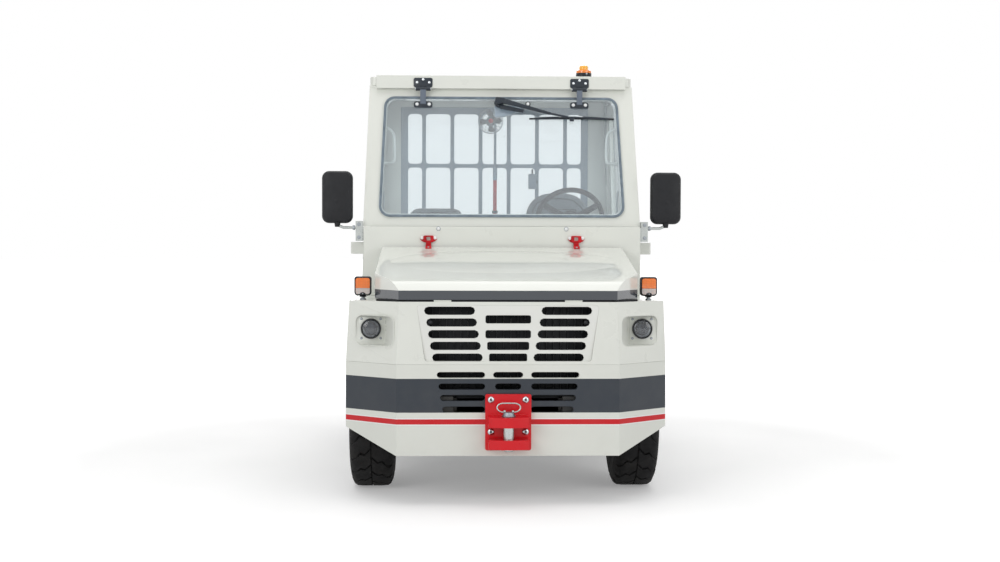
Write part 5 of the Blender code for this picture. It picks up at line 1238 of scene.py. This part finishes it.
def dashboard_parts():
    piece = Piece("instruments", "chassis", "black_plastic")
    pod = rounded([(0.885, 1.248), (0.965, 1.215), (0.972, 1.225), (0.935, 1.296), (0.885, 1.302)], 0.008, 4)
    piece.add("dash_plastic", slab(pod, 0.235, 0.509, "side", 0.006, 3))
    face = Vector((0, 0.89, 0.46)).normalized()
    for k, (x, radius) in enumerate(((0.285, 0.026), (0.372, 0.038), (0.459, 0.026))):
        centre = Vector((x, 0.955, 1.258))
        piece.add("chrome", turned([(radius - 0.003, 0), (radius, 0), (radius, 0.006), (radius - 0.003, 0.007), (radius - 0.003, 0)],
                                   centre, face, 48))
        piece.add("seal", turned([(0, 0), (radius - 0.003, 0), (radius - 0.003, 0.0022), (0, 0.0022)], centre, face, 48))
        for tick in range(9):
            a = math.radians(-120 + 30 * tick)
            up = Vector((0, -0.46, 0.89)).normalized()
            spot = centre + (Vector((1, 0, 0)) * math.sin(a) + up * math.cos(a)) * (radius - 0.008) + face * 0.0024
            piece.add("cap_white", moved(block((-0.0008, 0.0008), (-0.0004, 0.0004), (-0.0025, 0.0025), 0.0),
                                         spot, (0, math.degrees(a), 0)))
        piece.add("latch_red", rod(centre + face * 0.0028, centre + face * 0.0028 + Vector((0.35, -0.40, 0.80)) * (radius * 0.8),
                                   0.0010, 0.0004, 8))
    for k in range(6):
        x = -0.10 + 0.045 * k
        piece.add("black_plastic", moved(block((x - 0.014, x + 0.014), (-0.004, 0.006), (-0.020, 0.020), 0.003),
                                         (0, 0.947, 1.175), (-30, 0, 0), (x, 0, 0)))
    for x in (-0.52, -0.30):
        piece.add("black_plastic", moved(turned([(0, 0), (0.036, 0), (0.036, 0.006), (0.030, 0.009), (0.029, 0.004), (0, 0.004)],
                                                axis=(0, 1, 0), steps=40), (x, 0.945, 1.190), (-30, 0, 0), (0, 0, 0)))
        for step in (-2, -1, 0, 1, 2):
            piece.add("dash_plastic", moved(block((x - 0.026, x + 0.026), (0.002, 0.009), (-0.0015 + step * 0.010,
                                                                                            0.0015 + step * 0.010), 0.0008),
                                            (0, 0.945, 1.190), (-30, 0, 0), (0, 0, 0)))
    piece.add("dash_plastic", on_column(turned([(0, -0.060), (0.038, -0.060), (0.044, -0.075), (0.048, -0.150), (0.052, -0.1655),
                                                (0, -0.1655)], steps=40)))
    piece.add("black_plastic", on_column(tube(smooth_path([(0.040, 0, -0.085), (0.080, 0.005, -0.080), (0.135, 0.012, -0.068)]),
                                              0.0055, 12)), on_column(tube(
                                                  smooth_path([(-0.040, 0, -0.085), (-0.080, 0.005, -0.080),
                                                               (-0.135, 0.012, -0.068)]), 0.0055, 12)))
    piece.add("black_plastic", rod((0.600, 0.951, 1.200), (0.600, 0.962, 1.206), 0.012), ball((0.600, 0.964, 1.207), 0.008))
    piece.done()
    pedals = Piece("pedals", "chassis", "chassis_black")
    for x, wide, z in ((0.255, 0.030, 0.70), (0.372, 0.032, 0.70), (0.480, 0.022, 0.66)):
        pedals.add("black_paint", tube(smooth_path([(x, 0.78, 0.96), (x, 0.84, 0.86), (x, 0.905, z + 0.02), (x, 0.925, z)]), 0.0085, 10))
        pedals.add("seal", moved(block((x - wide, x + wide), (-0.006, 0.006), (-0.038, 0.038), 0.005), (0, 0.935, z),
                                 (-35, 0, 0), (x, 0, 0)))
        for rib in range(4):
            pedals.add("seal", moved(block((x - wide * 0.8, x + wide * 0.8), (0.005, 0.009), (-0.026 + rib * 0.0165,
                                                                                          -0.020 + rib * 0.0165), 0.001),
                                     (0, 0.935, z), (-35, 0, 0), (x, 0, 0)))
    pedals.done()
    levers = Piece("cab_levers", "chassis", "black_plastic")
    floor_z = 0.525
    levers.add("seal", turned([(0, 0), (0.055, 0), (0.052, 0.012), (0.030, 0.030), (0.034, 0.042), (0.020, 0.060), (0.022, 0.070),
                               (0.010, 0.085), (0, 0.086)], (0.060, 1.02, floor_z), steps=32))
    levers.add("black_paint", tube(smooth_path([(0.060, 1.02, floor_z + 0.06), (0.060, 1.02, 0.80), (0.075, 1.05, 1.02)]), 0.0075, 12))
    levers.add("black_plastic", ball((0.0765, 1.053, 1.035), 0.023))
    levers.add("black_paint", block((-0.115, -0.075), (1.00, 1.12), (floor_z, floor_z + 0.05), 0.006))
    levers.add("black_paint", tube(smooth_path([(-0.095, 1.06, floor_z + 0.04), (-0.095, 1.03, 0.70), (-0.095, 0.98, 0.90)]), 0.009, 12))
    levers.add("latch_red", tube(smooth_path([(-0.095, 0.990, 0.875), (-0.095, 0.962, 0.965)]), 0.0145, 14))
    levers.done()


def cab_fittings():
    for side, sign in BOTH:
        handle = Piece(f"grab_handle_{side}", "chassis", "body_white", sign)
        s = 0.958
        path = [(0.628, s, 1.787), (0.600, s, 1.786), (0.572, s, 1.775), (0.5535, s, 1.750), (0.5495, s, 1.715), (0.5480, s, 1.66),
                (0.5500, s, 1.622), (0.562, s, 1.608), (0.600, s, 1.606), (0.636, s, 1.606)]
        handle.add("body_white", tube(smooth_path(path, 5), 0.0085, 14))
        for x, z in ((0.630, 1.787), (0.637, 1.606)):
            handle.add("body_white", rod((x - 0.003, s, z), (x + 0.006, s, z), 0.016))
        for z in (1.583, 1.550):
            handle.add("seal", dome((0.620, 0.930, z), 0.0052, 0.003))
        lower = [(0.640, s - 0.03, 1.462), (0.612, s - 0.03, 1.460), (0.604, s - 0.03, 1.452), (0.602, s - 0.03, 1.40),
                 (0.604, s - 0.03, 1.350), (0.612, s - 0.03, 1.340), (0.645, s - 0.03, 1.338)]
        handle.add("cab_frame", tube(smooth_path(lower, 5), 0.006, 12))
        handle.done()
    fan = Piece("cab_fan", "chassis", "black_plastic")
    centre = Vector((-0.030, 1.640, 1.872))
    for radius, back in ((0.070, 0.0), (0.069, -0.012), (0.062, -0.024), (0.045, -0.032), (0.025, -0.036), (0.066, 0.014),
                         (0.052, 0.024)):
        fan.add("chrome", tube([centre + Vector((radius * math.cos(t), back, radius * math.sin(t))) for t in
                                [2 * math.pi * k / 48 for k in range(48)]], 0.0011, 6, True))
    for k in range(20):
        t = 2 * math.pi * k / 20
        wire = [centre + Vector((r * math.cos(t + turn), b, r * math.sin(t + turn))) for r, b, turn in
                ((0.012, -0.038, 0.0), (0.045, -0.032, 0.25), (0.069, -0.012, 0.4), (0.070, 0.004, 0.42), (0.050, 0.024, 0.42))]
        fan.add("chrome", tube(smooth_path(wire, 4), 0.0009, 6))
    fan.add("latch_red", turned([(0, 0), (0.014, 0), (0.013, 0.006), (0, 0.008)], centre + Vector((0, -0.034, 0)), (0, -1, 0), 24))
    fan.add("black_plastic", turned([(0, 0), (0.027, 0), (0.027, 0.030), (0.018, 0.048), (0, 0.050)],
                                    centre + Vector((0, 0.010, 0)), (0, 1, 0), 24))
    for k in range(4):
        blade = [(0.010, 0.006), (0.055, 0.024), (0.062, 0.0), (0.050, -0.014), (0.010, -0.006)]
        fan.add("dash_plastic", moved(slab(rounded(blade, 0.005, 3), -0.001, 0.001, "front", 0.0), centre, (0, 90 * k, 0)))
    fan.add("black_paint", tube(smooth_path([centre + Vector((0, 0.035, 0)), centre + Vector((0.045, 0.045, 0.045)),
                                             centre + Vector((0.060, 0.045, 0.100)), centre + Vector((0.060, 0.045, 0.127))]), 0.009, 12))
    fan.add("black_paint", block((0.005, 0.055), (1.66, 1.71), (1.990, 1.9985), 0.002))
    fan.done()
    pole = Piece("cab_pole", "chassis", "guard_blue_grey")
    pole.add("guard", rod((0.002, 1.823, 1.560), (0.002, 1.823, 1.918), 0.0075), rod((0.002, 1.823, 1.548), (0.002, 1.823, 1.625), 0.0125, 0.0125))
    pole.add("latch_red", rod((0.002, 1.823, 0.803), (0.002, 1.823, 1.562), 0.0105))
    pole.add("black_paint", block((-0.014, 0.018), (1.806, 1.8335), (1.358, 1.374), 0.002), block(
        (-0.014, 0.018), (1.806, 1.8335), (1.905, 1.921), 0.002))
    pole.done()
    box = Piece("cab_switch_box", "chassis", "guard_blue_grey")
    box.add("guard", block((0.193, 0.240), (1.792, 1.833), (1.498, 1.585), 0.006, 3))
    box.add("lamp_dark", rod((0.245, 1.812, 1.540), (0.238, 1.812, 1.540), 0.011), rod((0.216, 1.812, 1.580), (0.216, 1.812, 1.612), 0.005))
    box.done()
    motor = Piece("wiper_motor_cover", "chassis", "black_plastic")
    motor.add("guard", moved(slab(rounded([(-0.035, 1.842), (0.012, 1.842), (0.105, 1.872), (0.105, 1.900), (-0.035, 1.900)], 0.012, 4),
                                  0.905, 0.955, "front", 0.006, 3)))
    motor.done()


steering_wheel()
dashboard_parts()
cab_fittings()


# CAD pieces that are shown as they are

for node, obj in frame["nodes"].items():
    if not obj.hide_render:
        look = NODE_LOOK.get(node) or SLOT_LOOK.get(NODE_SLOT[node], NODE_SLOT[node])
        if not obj.material_slots:
            obj.data.materials.append(None)
        for material_slot in obj.material_slots:
            material_slot.material = LOOKS[look]


# Floor, light and camera

def own_light(net, base, strength):
    """Adds light that only the camera, mirrors and glass see, so that the ground looks white and keeps its shadow."""
    rays = net.tree.nodes.new("ShaderNodeLightPath")
    seen = net.math("MAXIMUM", net.math("MAXIMUM", rays.outputs["Is Camera Ray"], rays.outputs["Is Glossy Ray"]),
                    rays.outputs["Is Transmission Ray"])
    away = net.node("VectorMath", 1, {"operation": "LENGTH"}, i0=net.place)
    glow = net.ranged(away, 2.2, 6.0, strength, 1.0)
    net.shade(Base_Color=base, Roughness=0.9, Specular_IOR_Level=0.0, Emission_Color=(1, 1, 1, 1),
              Emission_Strength=net.math("MULTIPLY", seen, glow))
    return net.material


def lamp(name, place, aim, size, power, colour=(1, 1, 1)):
    data = bpy.data.lights.new(name, "AREA")
    data.shape = "RECTANGLE"
    data.size, data.size_y = size
    data.energy = power
    data.color = colour
    obj = bpy.data.objects.new(name, data)
    obj.location = place
    obj.rotation_euler = (Vector(aim) - Vector(place)).to_track_quat("-Z", "Y").to_euler()
    obj.visible_camera = obj.visible_transmission = False
    bpy.context.scene.collection.objects.link(obj)


floor_mesh = bpy.data.meshes.new("floor")
turned([(0, 0), (60, 0)], (0, 0, -0.0005), (0, 0, 1), 64).to_mesh(floor_mesh)
floor = bpy.data.objects.new("floor", floor_mesh)
bpy.context.scene.collection.objects.link(floor)
floor_net = Net("studio_floor")
tone = floor_net.mix(floor_net.ranged(floor_net.noise(1.5, 3), 0.3, 0.7), (0.80, 0.80, 0.80, 1), (0.84, 0.84, 0.84, 1))
floor_mesh.materials.append(own_light(floor_net, tone, FLOOR_GLOW))

world = bpy.data.worlds.new("studio")
bpy.context.scene.world = world
world.use_nodes = True
sky = world.node_tree
rays = sky.nodes.new("ShaderNodeLightPath")
seen = sky.nodes.new("ShaderNodeMath")
seen.operation = "MAXIMUM"
sky.links.new(rays.outputs["Is Camera Ray"], seen.inputs[0])
also = sky.nodes.new("ShaderNodeMath")
also.operation = "MAXIMUM"
sky.links.new(rays.outputs["Is Glossy Ray"], also.inputs[0])
sky.links.new(rays.outputs["Is Transmission Ray"], also.inputs[1])
sky.links.new(also.outputs[0], seen.inputs[1])
strength = sky.nodes.new("ShaderNodeMapRange")
strength.inputs["To Min"].default_value = SKY
strength.inputs["To Max"].default_value = 1.0
sky.links.new(seen.outputs[0], strength.inputs["Value"])
background = sky.nodes["Background"]
background.inputs["Color"].default_value = (1, 1, 1, 1)
sky.links.new(strength.outputs[0], background.inputs["Strength"])

for lamp_name, place, aim, size, power in LAMPS:
    lamp(lamp_name, place, aim, size, power)

camera_data = bpy.data.cameras.new("camera")
camera_data.lens = 54.6
camera_data.sensor_width = 36
camera_data.clip_end = 200
camera = bpy.data.objects.new("camera", camera_data)
bpy.context.scene.collection.objects.link(camera)
heading, dip, roll = math.radians(2.26), math.radians(1.85), math.radians(0.19)
ahead = Vector((math.sin(heading) * math.cos(dip), math.cos(heading) * math.cos(dip), -math.sin(dip)))
camera.matrix_world = Matrix.Translation((-0.311, -8.323, 1.252)) @ ahead.to_track_quat("-Z", "Y").to_matrix().to_4x4() \
    @ Matrix.Rotation(roll, 4, "Z")
bpy.context.scene.camera = camera

bpy.context.scene.view_settings.view_transform = "Standard"

import json

bpy.context.view_layer.update()
